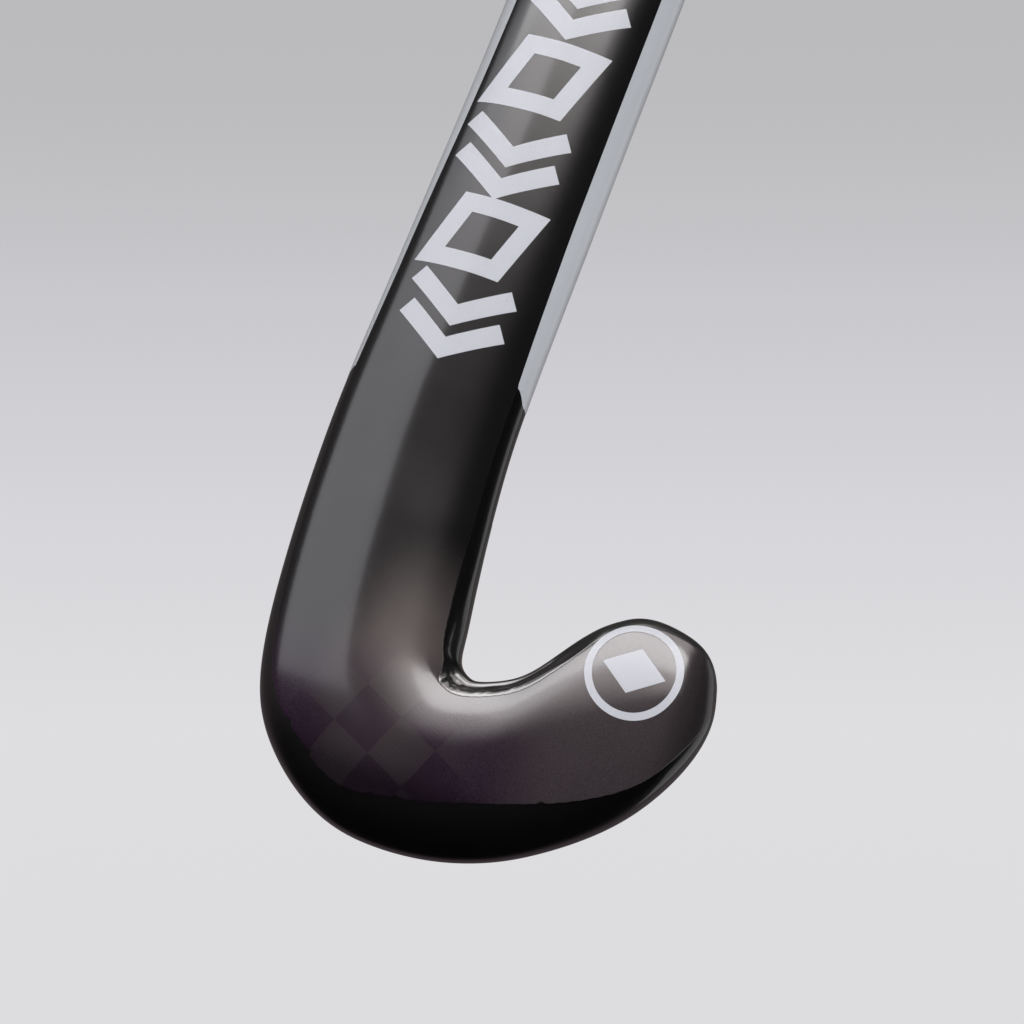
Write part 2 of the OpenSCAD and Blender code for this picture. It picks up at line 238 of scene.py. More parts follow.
    def around(self, t: Array, girth: Array, lift: Array | float = 0.0) -> Array:
        """Return points round the section at stations t and girths, raised by lift.

        Args:
            t: stations along the stick.
            girth: places round the section, from 0 to 2.
            lift: height over the moulding, in millimetres.

        Returns:
            The points in metres.
        """
        w = np.mod(girth, 2)
        s = self.section(t, lift)
        c = np.cos(math.pi * w)
        u_back = np.sign(c) * np.abs(c) ** (2 / s["power"])
        back = self.back(t, np.where(w <= 1, u_back, 0), lift)
        side = np.where(w < 1.5, -1.0, 1.0)
        turn = np.clip(np.minimum(w - 1, 2 - w) / self.edge_girth, 0, 1) * math.pi / 2
        rim = 1 - s["edge"] / np.maximum(s["half"], 1e-3) * (1 - np.cos(turn))
        inside = 1 - s["edge"] / np.maximum(s["half"], 1e-3)
        across = np.clip((w - 1 - self.edge_girth) / (1 - 2 * self.edge_girth), 0, 1) * 2 - 1
        flat = (w > 1 + self.edge_girth) & (w < 2 - self.edge_girth)
        u = np.where(flat, across * inside, side * rim)
        front = self.place(s, u, s["face"] * np.sin(turn))
        return np.where((w <= 1)[..., None], back, front)

    def station_at(self, height: Array) -> Array:
        """Return the stations on the shaft whose middle lies at these heights.

        Args:
            height: heights over the sole, in millimetres.

        Returns:
            The stations.
        """
        t = np.linspace(1, 15, 1401)
        p = self.spline(t)
        return np.interp(-np.asarray(height, float), -(p[:, 1] + p[:, 3]) / 2, t)

    def find(self, x: Array, height: Array, t: float, u: float) -> tuple[Array, Array]:
        """Return the stations and shares of points given by x and height.

        Args:
            x: places across, in millimetres.
            height: heights over the sole.
            t: a station near them.
            u: a share near them.

        Returns:
            The stations and the shares.
        """
        goal = np.stack([x, height], -1)
        ts, us = np.full(np.shape(x), float(t)), np.full(np.shape(x), float(u))
        h = 1e-3

        def seen(a: Array, b: Array) -> Array:
            """Return x and height of the points at stations a and shares b."""
            s = self.section(a)
            return s["middle"] + s["across"] * (b * s["half"])[..., None]

        for _ in range(24):
            miss = goal - seen(ts, us)
            run = (seen(ts + h, us) - seen(ts - h, us)) / (2 * h)
            wide = (seen(ts, us + h) - seen(ts, us - h)) / (2 * h)
            area = run[..., 0] * wide[..., 1] - run[..., 1] * wide[..., 0]
            dt = (miss[..., 0] * wide[..., 1] - miss[..., 1] * wide[..., 0]) / area
            du = (run[..., 0] * miss[..., 1] - run[..., 1] * miss[..., 0]) / area
            ts = np.clip(ts + np.clip(dt, -0.4, 0.4), 1.2, self.tip - 0.1)
            us = np.clip(us + np.clip(du, -0.25, 0.25), -0.98, 0.98)
        return ts, us


# --- Modelling ---


class Bench:
    """The modelling moves that the pieces share."""

    @staticmethod
    def clear() -> None:
        """Leave edit mode and deselect everything."""
        if bpy.context.object and bpy.context.object.mode != "OBJECT":
            bpy.ops.object.mode_set(mode="OBJECT")
        bpy.ops.object.select_all(action="DESELECT")

    @staticmethod
    def pick(piece: bpy.types.Object) -> None:
        """Make a piece the only selected and active one.

        Args:
            piece: the piece to work on.
        """
        Bench.clear()
        piece.select_set(True)
        bpy.context.view_layer.objects.active = piece

    @staticmethod
    def sheet(
        name: str, columns: int, rows: int, shape: Callable[[Array, Array], Array],
        size: tuple[float, float] = (1.0, 1.0),
    ) -> bpy.types.Object:
        """Model a curved sheet from a subdivided plane.

        Args:
            name: the piece's name.
            columns: faces across.
            rows: faces along.
            shape: gives the points in metres for places across and along, both from 0 to 1.
            size: real width and length that the piece's own map is scaled to.

        Returns:
            The new piece.
        """
        Bench.clear()
        bpy.ops.mesh.primitive_grid_add(
            x_subdivisions=columns, y_subdivisions=rows, size=1, calc_uvs=True
        )
        piece = bpy.context.object
        piece.name = piece.data.name = name
        mesh = piece.data
        co = np.zeros(len(mesh.vertices) * 3)
        mesh.vertices.foreach_get("co", co)
        co = co.reshape(-1, 3)
        a, b = np.clip(co[:, 0] + 0.5, 0, 1), np.clip(co[:, 1] + 0.5, 0, 1)
        mesh.vertices.foreach_set("co", np.ascontiguousarray(shape(a, b), float).ravel())
        uv = np.zeros(len(mesh.loops) * 2)
        mesh.uv_layers[0].data.foreach_get("uv", uv)
        uv = uv.reshape(-1, 2) * np.array(size)
        mesh.uv_layers[0].data.foreach_set("uv", uv.ravel())
        mesh.update()
        return piece

    @staticmethod
    def apply(piece: bpy.types.Object, kind: str, **settings: object) -> None:
        """Add a modifier of a kind with its settings and apply it.

        Args:
            piece: the piece to change.
            kind: the modifier's type.
            settings: the modifier's settings by name.
        """
        Bench.pick(piece)
        modifier = piece.modifiers.new(kind.title(), kind)
        for key, value in settings.items():
            setattr(modifier, key, value)
        bpy.ops.object.modifier_apply(modifier=modifier.name)

    @staticmethod
    def thicken(piece: bpy.types.Object, thickness: float) -> None:
        """Give a sheet its thickness, in millimetres, on its inner side.

        Args:
            piece: the sheet.
            thickness: its thickness in millimetres.
        """
        Bench.apply(
            piece, "SOLIDIFY", thickness=thickness * MM, offset=-1.0, use_even_offset=False,
            use_quality_normals=True,
        )

    @staticmethod
    def flip(piece: bpy.types.Object) -> None:
        """Turn all faces of a sheet to its other side.

        Args:
            piece: the sheet.
        """
        Bench.pick(piece)
        bpy.ops.object.mode_set(mode="EDIT")
        bpy.ops.mesh.select_all(action="SELECT")
        bpy.ops.mesh.flip_normals()
        bpy.ops.object.mode_set(mode="OBJECT")

    @staticmethod
    def merge(piece: bpy.types.Object, distance: float = 1e-6, turn: bool = True) -> None:
        """Join the points that lie together and, if asked, turn all faces outwards.

        Args:
            piece: the piece to clean.
            distance: how close points are joined, in metres.
            turn: whether the faces are turned outwards.
        """
        Bench.pick(piece)
        bpy.ops.object.mode_set(mode="EDIT")
        bpy.ops.mesh.select_all(action="SELECT")
        bpy.ops.mesh.remove_doubles(threshold=distance)
        if turn:
            bpy.ops.mesh.normals_make_consistent(inside=False)
        bpy.ops.object.mode_set(mode="OBJECT")

    @staticmethod
    def cap_holes(piece: bpy.types.Object) -> None:
        """Close every open rim with a face and turn all faces outwards.

        Args:
            piece: the piece to close.
        """
        Bench.pick(piece)
        bpy.ops.object.mode_set(mode="EDIT")
        bpy.ops.mesh.select_all(action="DESELECT")
        bpy.ops.mesh.select_non_manifold()
        bpy.ops.mesh.edge_face_add()
        bpy.ops.mesh.select_all(action="SELECT")
        bpy.ops.mesh.normals_make_consistent(inside=False)
        bpy.ops.object.mode_set(mode="OBJECT")

    @staticmethod
    def soften(piece: bpy.types.Object, angle: float = 40.0) -> None:
        """Shade a piece smoothly, except over edges sharper than angle."""
        Bench.pick(piece)
        bpy.ops.object.shade_smooth_by_angle(angle=math.radians(angle))

    @staticmethod
    def join(name: str, pieces: Sequence[bpy.types.Object]) -> bpy.types.Object:
        """Join pieces into one with a name.

        Args:
            name: the joined piece's name.
            pieces: the pieces to join.

        Returns:
            The joined piece.
        """
        Bench.clear()
        for piece in pieces:
            piece.select_set(True)
        bpy.context.view_layer.objects.active = pieces[0]
        bpy.ops.object.join()
        pieces[0].name = pieces[0].data.name = name
        return pieces[0]


# --- Shader arithmetic ---


class Graph:
    """A node tree that grows by one method."""

    def __init__(self, tree: bpy.types.NodeTree) -> None:
        """Keep the tree and start it empty."""
        self.tree = tree
        tree.nodes.clear()

    def node(
        self, kind: str, settings: dict | None = None, inputs: dict | None = None, output: int | str = 0
    ) -> "Value":
        """Add a node.

        Args:
            kind: the node's type.
            settings: its settings, set first; stops are the stops of a ramp.
            inputs: values or links of its sockets, by name or number.
            output: the output that is handed on.

        Returns:
            The chosen output, ready for arithmetic.
        """
        node = self.tree.nodes.new(kind)
        for key, value in (settings or {}).items():
            if key == "stops":
                ramp = node.color_ramp
                ramp.elements[0].position, ramp.elements[0].color = value[0]
                ramp.elements[1].position, ramp.elements[1].color = value[-1]
                for position, colour in value[1:-1]:
                    ramp.elements.new(position).color = colour
            else:
                setattr(node, key, value)
        for key, value in (inputs or {}).items():
            if isinstance(value, Value):
                self.tree.links.new(value.socket, node.inputs[key])
            else:
                node.inputs[key].default_value = value
        return Value(self, node.outputs[output] if len(node.outputs) else None)

    def mix(self, factor: "Value | float", a: "Value | Colour", b: "Value | Colour") -> "Value":
        """Mix two colours.

        Args:
            factor: how much of the second colour shows.
            a: the first colour.
            b: the second colour.

        Returns:
            The mixed colour.
        """
        def full(c: "Value | Colour") -> object:
            """Return a colour with its alpha, or a link as it is."""
            return c if isinstance(c, Value) else (*c, 1.0)

        return self.node(
            "ShaderNodeMix", {"data_type": "RGBA", "clamp_factor": True},
            {0: factor, 6: full(a), 7: full(b)}, 2,
        )

    def noise(self, where: "Value", scale: float, detail: float = 3.0, rough: float = 0.5) -> "Value":
        """Return soft noise from 0 to 1 with a scale in cells per metre.

        Args:
            where: coordinates in metres.
            scale: cells per metre.
            detail: how many finer layers it has.
            rough: how strong the finer layers are.

        Returns:
            The noise.
        """
        return self.node(
            "ShaderNodeTexNoise", None,
            {"Vector": where, "Scale": scale, "Detail": detail, "Roughness": rough},
        )

    def cells(self, where: "Value", scale: float) -> "Value":
        """Return the distance to the nearest cell point."""
        return self.node("ShaderNodeTexVoronoi", {"feature": "F1"}, {"Vector": where, "Scale": scale})

    def stretch(
        self, where: "Value", scale: tuple[float, float, float],
        turn: tuple[float, float, float] = (0, 0, 0),
    ) -> "Value":
        """Return coordinates turned and then scaled."""
        turned = self.node("ShaderNodeMapping", None, {"Vector": where, "Rotation": turn})
        return self.node("ShaderNodeMapping", None, {"Vector": turned, "Scale": scale})

    def parts(self, where: "Value") -> tuple["Value", "Value", "Value"]:
        """Return the three numbers of a vector.

        Args:
            where: the vector.

        Returns:
            Its x, y and z.
        """
        first = self.node("ShaderNodeSeparateXYZ", None, {0: where})
        outputs = first.socket.node.outputs
        return first, Value(self, outputs[1]), Value(self, outputs[2])


class Value:
    """A shader socket that takes part in Python arithmetic."""

    def __init__(self, graph: Graph, socket: bpy.types.NodeSocket) -> None:
        """Keep the socket and the graph it belongs to."""
        self.graph = graph
        self.socket = socket

    def math(
        self, operation: str, *others: "Value | float", first: "Value | float | None" = None
    ) -> "Value":
        """Add a Math node on this value and others."""
        terms = [self if first is None else first, *others]
        return self.graph.node("ShaderNodeMath", {"operation": operation}, dict(enumerate(terms)))

    def __add__(self, other: "Value | float") -> "Value":
        """Return the sum."""
        return self.math("ADD", other)

    __radd__ = __add__

    def __mul__(self, other: "Value | float") -> "Value":
        """Return the product."""
        return self.math("MULTIPLY", other)

    __rmul__ = __mul__

    def __sub__(self, other: "Value | float") -> "Value":
        """Return the difference."""
        return self.math("SUBTRACT", other)

    def __rsub__(self, other: float) -> "Value":
        """Return a number less this value."""
        return self.math("SUBTRACT", self, first=other)

    def __truediv__(self, other: "Value | float") -> "Value":
        """Return the quotient."""
        return self.math("DIVIDE", other)

    def __pow__(self, other: "Value | float") -> "Value":
        """Return a power."""
        return self.math("POWER", other)

    def __lt__(self, other: "Value | float") -> "Value":
        """Return 1 where this is less."""
        return self.math("LESS_THAN", other)

    def floor(self) -> "Value":
        """Return the whole part."""
        return self.math("FLOOR")

    def fract(self) -> "Value":
        """Return what is left over the whole part."""
        return self.math("FRACT")

    def sine(self) -> "Value":
        """Return the sine."""
        return self.math("SINE")

    def rise(self, low: float, high: float, to_low: float = 0.0, to_high: float = 1.0) -> "Value":
        """Rise smoothly from to_low to to_high while this goes from low to high.

        Args:
            low: where the rise starts.
            high: where it ends.
            to_low: the result up to low.
            to_high: the result from high on.

        Returns:
            The result.
        """
        return self.graph.node(
            "ShaderNodeMapRange", {"interpolation_type": "SMOOTHSTEP"},
            {"Value": self, "From Min": low, "From Max": high, "To Min": to_low, "To Max": to_high},
        )


# --- Finishes ---


@dataclass(frozen=True)
class Finish:
    """A finish: its name and the numbers that are the same all over it."""

    name: str
    specular: float = 0.5
    coat_roughness: float = 0.03
    coat_ior: float = 1.5
    sheen: float = 0.0

    def paint(self, g: Graph, at: Value) -> dict[str, Value | float | Colour]:
        """Return the shader's changing inputs; at holds Object coordinates in metres."""
        raise NotImplementedError

    def grain(self, g: Graph, height: Value, depth: float) -> Value:
        """Return a normal bumped by a height from 0 to 1, depth millimetres deep."""
        return g.node("ShaderNodeBump", None, {"Height": height, "Distance": depth * MM, "Strength": 1.0})

    def make(self) -> bpy.types.Material:
        """Return the finish's material, making it on first use.

        Returns:
            The material.
        """
        name = f"{self.name}_finish"
        found = bpy.data.materials.get(name)
        if found:
            return found
        material = bpy.data.materials.new(name)
        material.use_nodes = True
        g = Graph(material.node_tree)
        at = g.node("ShaderNodeTexCoord", output="Object")
        inputs: dict[str, Value | float | Colour] = {
            "Specular IOR Level": self.specular,
            "Coat Roughness": self.coat_roughness,
            "Coat IOR": self.coat_ior,
            "Sheen Weight": self.sheen,
        }
        for key, value in self.paint(g, at).items():
            inputs[key] = (*value, 1.0) if isinstance(value, tuple) else value
        shader = g.node("ShaderNodeBsdfPrincipled", None, inputs)
        g.node("ShaderNodeOutputMaterial", None, {"Surface": shader})
        return material

    def own_map(self, g: Graph) -> Value:
        """Return the piece's own map, in metres."""
        return g.node("ShaderNodeUVMap", None, None)


@dataclass(frozen=True)
class BlackLacquer(Finish):
    """Deep clear lacquer over black carbon, a little wavy, with hairline marks."""

    wave: float = 0.05

    def paint(self, g: Graph, at: Value) -> dict[str, Value | float | Colour]:
        """Return nearly black carbon under a mirror coat.

        Args:
            g: the graph that takes the nodes.
            at: Object coordinates in metres.

        Returns:
            The shader's changing inputs, by socket name.
        """
        cloud = g.noise(at, 60.0, 4.0)
        fibre = g.noise(g.stretch(at, (1.0, 1.0, 0.12)), 2600.0, 2.0)
        hair = g.noise(g.stretch(at, (1.0, 0.2, 0.05), (0.3, 0.5, 0.2)), 1400.0, 2.0).rise(0.62, 0.7)
        colour = g.mix(cloud * 0.6 + fibre * 0.5, (0.0006, 0.0005, 0.0006), (0.0026, 0.0022, 0.0024))
        wavy = g.noise(at, 34.0, 1.0) * 0.9 + g.noise(at, 900.0, 2.0) * 0.035
        return {
            "Base Color": colour,
            "Roughness": 0.3 + fibre * 0.12,
            "Coat Weight": 1.0 - hair * 0.25,
            "Normal": self.grain(g, wavy, self.wave),
        }


@dataclass(frozen=True)
class BackFilm(Finish):
    """Dark satin film; over the heel the spread tow shows through it as purple and brown squares."""

    length: float = 0.927
    cell: float = 0.01206
    turn: float = 25.0
    start: tuple[float, float] = (0.006, 0.0231)

    def paint(self, g: Graph, at: Value) -> dict[str, Value | float | Colour]:
        """Return the film's grey, the squares at the heel, the fine grain all over, a painted brown sheen
        above the hook, a painted highlight on the toe and painted shade along the sole.

        Args:
            g: the graph that takes the nodes.
            at: Object coordinates in metres.

        Returns:
            The shader's changing inputs, by socket name.
        """
        x, _, z = g.parts(at)
        height = z + self.length
        c, s = math.cos(math.radians(self.turn)), math.sin(math.radians(self.turn))
        dx, dh = x - self.start[0], height - self.start[1]
        p = (dx * c - dh * s) / self.cell
        q = (dx * s + dh * c) / self.cell
        square = ((p.floor() + q.floor()) * 0.5).fract() * 2.0
        tow_p, tow_q = (p * 70.0).sine(), (q * 70.0).sine()
        tow = (square * tow_p + (1.0 - square) * tow_q) * g.noise(at, 700.0, 2.0)
        patch = g.noise(at, 55.0, 3.0)
        near = ((dx - 0.012) ** 2.0 + (dh * 1.2) ** 2.0) ** 0.5
        shown = near.rise(0.012, 0.032, 1.0, 0.0)
        # Distance from the middle of the painted sheen: a brown patch above the hook that stands in for a
        # soft reflection.
        painted_sheen_distance = (((x - 0.0165) * 1.3) ** 2.0 + ((height - 0.041) * 0.75) ** 2.0) ** 0.5
        head = height.rise(0.022, 0.05, 1.0, 0.0) * x.rise(0.035, 0.065, 1.0, 0.2)
        # Mask of the toe end, where the film gets a painted highlight.
        toe = x.rise(0.03, 0.065) * height.rise(0.09, 0.12, 1.0, 0.0)
        grain = g.noise(at, 2400.0, 2.0, 0.6)
        thread = g.noise(g.stretch(at, (1.0, 1.0, 0.25), (0, 0.4, 0)), 1500.0, 2.0)
        plain = g.mix(grain, (0.0045, 0.0042, 0.0046), (0.0105, 0.0098, 0.0104))
        speck = g.noise(at, 3600.0, 1.0, 0.4)
        purple = g.mix(speck.rise(0.3, 0.7) * 0.7 + patch * 0.3, (0.008, 0.003, 0.009), (0.042, 0.017, 0.044))
        brown = g.mix(tow * 0.25 + 0.5, (0.019, 0.0145, 0.017), (0.036, 0.029, 0.032))
        violet = g.mix(tow * 0.25 + 0.5, (0.0095, 0.0036, 0.0105), (0.019, 0.0085, 0.02))
        squares = g.mix(square, violet, brown)
        # Painted highlight: a lighter grey-brown over the toe, standing in for a broad reflection.
        toe_painted_highlight = g.mix(speck, (0.024, 0.019, 0.021), (0.078, 0.062, 0.066))
        base = g.mix(head, g.mix(toe * x.rise(0.082, 0.092, 1.0, 0.3), plain, toe_painted_highlight), purple)
        # Painted sheen: lightens the film's colour to warm brown there, in place of a reflection.
        sheen = painted_sheen_distance.rise(0.0, 0.029, 1.0, 0.0) * (patch * 0.4 + 0.6)
        film = g.mix(shown * 0.8, g.mix(sheen, base, (0.165, 0.135, 0.128)), squares)
        # Painted shade: the film's colour darkens towards the sole, where its surface faces down.
        foot = height.rise(0.011, 0.02, 0.55, 0.0) * x.rise(0.075, 0.09, 1.0, 0.0)
        colour = g.mix(foot, film, (0.002, 0.001, 0.002))
        rub = g.noise(at, 130.0, 4.0)
        return {
            "Base Color": colour,
            "Roughness": 0.17 + grain * 0.06 + rub * 0.05,
            "Coat Weight": 0.2 + rub * 0.12,
            "Normal": self.grain(g, grain * 0.45 + thread * 0.4 + tow * shown * 0.1, 0.02),
        }


@dataclass(frozen=True)
class WhiteFilm(Finish):
    """White printed film under a clear coat, faintly clouded and specked."""

    tint: Colour = (0.5, 0.52, 0.545)
    coat: float = 0.7

    def paint(self, g: Graph, at: Value) -> dict[str, Value | float | Colour]:
        """Return slightly clouded white with fine specks.

        Args:
            g: the graph that takes the nodes.
            at: Object coordinates in metres.

        Returns:
            The shader's changing inputs, by socket name.
        """
        cloud = g.noise(g.stretch(at, (1.0, 1.0, 0.2)), 90.0, 3.0)
        speck = g.noise(at, 3000.0, 1.0).rise(0.68, 0.78)
        light = tuple(min(v * 1.12, 1.0) for v in self.tint)
        colour = g.mix(speck * 0.5, g.mix(cloud, self.tint, light), (0.3, 0.31, 0.33))
        return {
            "Base Color": colour,
            "Roughness": 0.34 + cloud * 0.1,
            "Coat Weight": self.coat,
            "Normal": self.grain(g, cloud, 0.04),
        }


@dataclass(frozen=True)
class WovenCarbon(Finish):
    """Two-by-two twill carbon under lacquer, its tows at 45 degrees to the shaft."""

    tow: float = 0.0022

    def paint(self, g: Graph, at: Value) -> dict[str, Value | float | Colour]:
        """Return the twill's light and dark tows, each with a painted highlight along its rounded back.

        Args:
            g: the graph that takes the nodes.
            at: Object coordinates in metres.

        Returns:
            The shader's changing inputs, by socket name.
        """
        u, _, v = g.parts(g.stretch(at, (1.0, 1.0, 1.0), (0, math.radians(45.0), 0)))
        a, b = u / self.tow, v / self.tow
        over = ((a.floor() + b.floor()) * 0.25).fract() < 0.5
        hump_a = (a.fract() * math.pi).sine()
        hump_b = (b.fract() * math.pi).sine()
        fibre_a, fibre_b = (a * 60.0).sine(), (b * 60.0).sine()
        hump = over * hump_a + (1.0 - over) * hump_b
        fibre = over * fibre_a + (1.0 - over) * fibre_b
        # The checker of light and dark tows is the weave's pattern; hump adds a painted highlight along each
        # tow's crown.
        shade = over * 0.55 + hump * 0.3 + fibre * 0.07
        colour = g.mix(shade, (0.0035, 0.0035, 0.004), (0.035, 0.035, 0.038))
        return {
            "Base Color": colour,
            "Roughness": 0.3 + over * 0.1 + g.noise(at, 400.0) * 0.08,
            "Coat Weight": 0.95,
            "Normal": self.grain(g, hump * 0.8 + fibre * 0.08, 0.03),
        }


@dataclass(frozen=True)
class SpreadTow(Finish):
    """Wide flat tows in a checker, purple and brown."""

    cell: float = 0.012

    def paint(self, g: Graph, at: Value) -> dict[str, Value | float | Colour]:
        """Return the checker with fine fibres along each tow.

        Args:
            g: the graph that takes the nodes.
            at: Object coordinates in metres.

        Returns:
            The shader's changing inputs, by socket name.
        """
        x, _, z = g.parts(g.stretch(at, (1.0, 1.0, 1.0), (0, math.radians(25.0), 0)))
        p, q = x / self.cell, z / self.cell
        square = ((p.floor() + q.floor()) * 0.5).fract() * 2.0
        fibre = square * (p * 70.0).sine() + (1.0 - square) * (q * 70.0).sine()
        colour = g.mix(square, (0.018, 0.009, 0.017), (0.036, 0.03, 0.032))
        return {
            "Base Color": g.mix(fibre * 0.2 + 0.2, colour, (0.06, 0.05, 0.055)),
            "Roughness": 0.35 + fibre * 0.05,
            "Coat Weight": 0.8,
            "Normal": self.grain(g, fibre, 0.01),
        }


@dataclass(frozen=True)
class FaceFilm(Finish):
    """Dark film on the playing side, satin with a fine brushed grain along the shaft."""

    def paint(self, g: Graph, at: Value) -> dict[str, Value | float | Colour]:
        """Return dark grey with long fine streaks.

        Args:
            g: the graph that takes the nodes.
            at: Object coordinates in metres.

        Returns:
            The shader's changing inputs, by socket name.
        """
        streak = g.noise(g.stretch(at, (1.0, 1.0, 0.03)), 1800.0, 3.0)
        cloud = g.noise(at, 40.0, 3.0)
        colour = g.mix(streak * 0.7 + cloud * 0.4, (0.0065, 0.0065, 0.0075), (0.019, 0.0185, 0.0205))
        return {
            "Base Color": colour,
            "Roughness": 0.36 + streak * 0.12,
            "Coat Weight": 0.4 + cloud * 0.1,
            "Normal": self.grain(g, streak, 0.015),
        }


@dataclass(frozen=True)
class GripTape(Finish):
    """Soft black tape with rows of fine holes and a leathery grain, on the piece's own map."""

    pitch: float = 0.0042

    def paint(self, g: Graph, at: Value) -> dict[str, Value | float | Colour]:
        """Return matt black, sunk at the holes and painted with shade in them, paler where hands rub it.

        Args:
            g: the graph that takes the nodes.
            at: Object coordinates in metres.

        Returns:
            The shader's changing inputs, by socket name.
        """
        u, v, _ = g.parts(self.own_map(g))
        b = v / self.pitch
        shift = (b.floor() * 0.5).fract()
        a = u / self.pitch + shift
        gap = ((a.fract() - 0.5) ** 2.0 + (b.fract() - 0.5) ** 2.0) ** 0.5
        hole = gap.rise(0.13, 0.21, 1.0, 0.0)
        leather = g.cells(at, 1500.0)
        rub = g.noise(at, 50.0, 4.0)
        worn = (rub * 0.7 + leather * 0.4).rise(0.55, 0.95)
        tape = g.mix(worn, (0.011, 0.011, 0.012), (0.034, 0.034, 0.036))
        # Painted shade: the holes are coloured near black for the shadow inside them.
        colour = g.mix(hole, tape, (0.0008, 0.0008, 0.0008))
        height = leather * 0.25 + rub * 0.2 + (1.0 - hole) * 1.0
        return {
            "Base Color": colour,
            "Roughness": 0.75 + leather * 0.1 + hole * 0.1,
            "Coat Weight": 0.0,
            "Normal": self.grain(g, height, 0.2),
        }


@dataclass(frozen=True)
class VinylTape(Finish):
    """Stretched black vinyl with fine pull lines round the handle."""

    def paint(self, g: Graph, at: Value) -> dict[str, Value | float | Colour]:
        """Return black with long wrinkles.

        Args:
            g: the graph that takes the nodes.
            at: Object coordinates in metres.

        Returns:
            The shader's changing inputs, by socket name.
        """
        pull = g.noise(g.stretch(at, (0.15, 0.15, 1.0)), 700.0, 3.0)
        fine = g.noise(at, 2500.0, 2.0)
        colour = g.mix(pull, (0.008, 0.008, 0.009), (0.03, 0.03, 0.032))
        return {
            "Base Color": colour,
            "Roughness": 0.3 + pull * 0.2 + fine * 0.05,
            "Coat Weight": 0.1,
            "Normal": self.grain(g, pull * 0.8 + fine * 0.15, 0.06),
        }


@dataclass(frozen=True)
class MouldedRubber(Finish):
    """Moulded rubber with a fine spark grain."""

    dark: Colour = (0.01, 0.01, 0.011)
    light: Colour = (0.032, 0.032, 0.034)

    def paint(self, g: Graph, at: Value) -> dict[str, Value | float | Colour]:
        """Return even rubber with dusty high spots.

        Args:
            g: the graph that takes the nodes.
            at: Object coordinates in metres.

        Returns:
            The shader's changing inputs, by socket name.
        """
        grain = g.cells(at, 2200.0)
        cloud = g.noise(at, 120.0, 4.0)
        return {
            "Base Color": g.mix(cloud * 0.7 + grain * 0.3, self.dark, self.light),
            "Roughness": 0.6 + grain * 0.2,
            "Coat Weight": 0.0,
            "Normal": self.grain(g, grain * 0.7 + cloud * 0.3, 0.05),
        }


@dataclass(frozen=True)
class Foam(Finish):
    """Cut rigid foam: small cells, some of them open, with painted shade in their hollows."""

    dark: Colour = (0.5, 0.42, 0.26)
    light: Colour = (0.85, 0.79, 0.62)
    cell: float = 900.0

    def paint(self, g: Graph, at: Value) -> dict[str, Value | float | Colour]:
        """Return foam with cells of the given number per metre.

        Args:
            g: the graph that takes the nodes.
            at: Object coordinates in metres.

        Returns:
            The shader's changing inputs, by socket name.
        """
        pore = g.cells(at, self.cell)
        cloud = g.noise(at, 80.0, 3.0)
        # Painted shade: each cell darkens towards its middle, where its hollow lies.
        shade = pore.rise(0.15, 0.7)
        return {
            "Base Color": g.mix(shade * 0.8 + cloud * 0.2, self.dark, self.light),
            "Roughness": 0.8 + pore * 0.15,
            "Coat Weight": 0.0,
            "Normal": self.grain(g, shade, 0.3),
        }


@dataclass(frozen=True)
class RawCarbon(Finish):
    """Uncoated carbon plate with straight fibres."""

    def paint(self, g: Graph, at: Value) -> dict[str, Value | float | Colour]:
        """Return dark grey fibres along the stick.

        Args:
            g: the graph that takes the nodes.
            at: Object coordinates in metres.

        Returns:
            The shader's changing inputs, by socket name.
        """
        fibre = g.noise(g.stretch(at, (1.0, 1.0, 0.04)), 3000.0, 3.0)
        return {
            "Base Color": g.mix(fibre, (0.009, 0.009, 0.01), (0.05, 0.05, 0.053)),
            "Roughness": 0.45 + fibre * 0.2,
            "Coat Weight": 0.0,
            "Normal": self.grain(g, fibre, 0.03),
        }


@dataclass(frozen=True)
class StudioFloor(Finish):
    """Plain pale floor with a barely visible mottle."""

    def paint(self, g: Graph, at: Value) -> dict[str, Value | float | Colour]:
        """Return pale grey.

        Args:
            g: the graph that takes the nodes.
            at: Object coordinates in metres.

        Returns:
            The shader's changing inputs, by socket name.
        """
        cloud = g.noise(at, 3.0, 3.0)
        return {
            "Base Color": g.mix(cloud, (0.84, 0.84, 0.85), (0.88, 0.88, 0.89)),
            "Roughness": 0.6 + cloud * 0.1,
            "Coat Weight": 0.0,
        }


class Finishes:
    """Every finish on the stick, by use."""

    lacquer = BlackLacquer("black_lacquer")
    hook_lacquer = BlackLacquer("hook_lacquer", wave=0.08)
    back_film = BackFilm("back_film", coat_roughness=0.12)
    white_film = WhiteFilm("white_film")
    decal = WhiteFilm("white_decal", coat_roughness=0.2, specular=0.25, tint=(0.6, 0.61, 0.65), coat=0.05)
    face_film = FaceFilm("face_film", coat_roughness=0.15)
    face_ply = WovenCarbon("woven_face_ply", coat_roughness=0.05)
    spread_tow = SpreadTow("spread_tow")
    grip_tape = GripTape("grip_tape", specular=0.12)
    finish_tape = VinylTape("finish_tape")
    cap = MouldedRubber("cap_rubber", specular=0.35)
    damper = MouldedRubber("damper_rubber", dark=(0.02, 0.035, 0.12), light=(0.06, 0.09, 0.26))
    core_foam = Foam("core_foam")
    head_foam = Foam("head_foam", dark=(0.22, 0.15, 0.07), light=(0.5, 0.38, 0.2), cell=1300.0)
    plug_foam = Foam("plug_foam", dark=(0.14, 0.08, 0.035), light=(0.38, 0.24, 0.12), cell=1100.0)
    underlay = Foam("underlay_foam", dark=(0.02, 0.02, 0.021), light=(0.06, 0.06, 0.062), cell=1600.0)
    raw_carbon = RawCarbon("raw_carbon")
    floor = StudioFloor("studio_floor")


# --- The stick ---


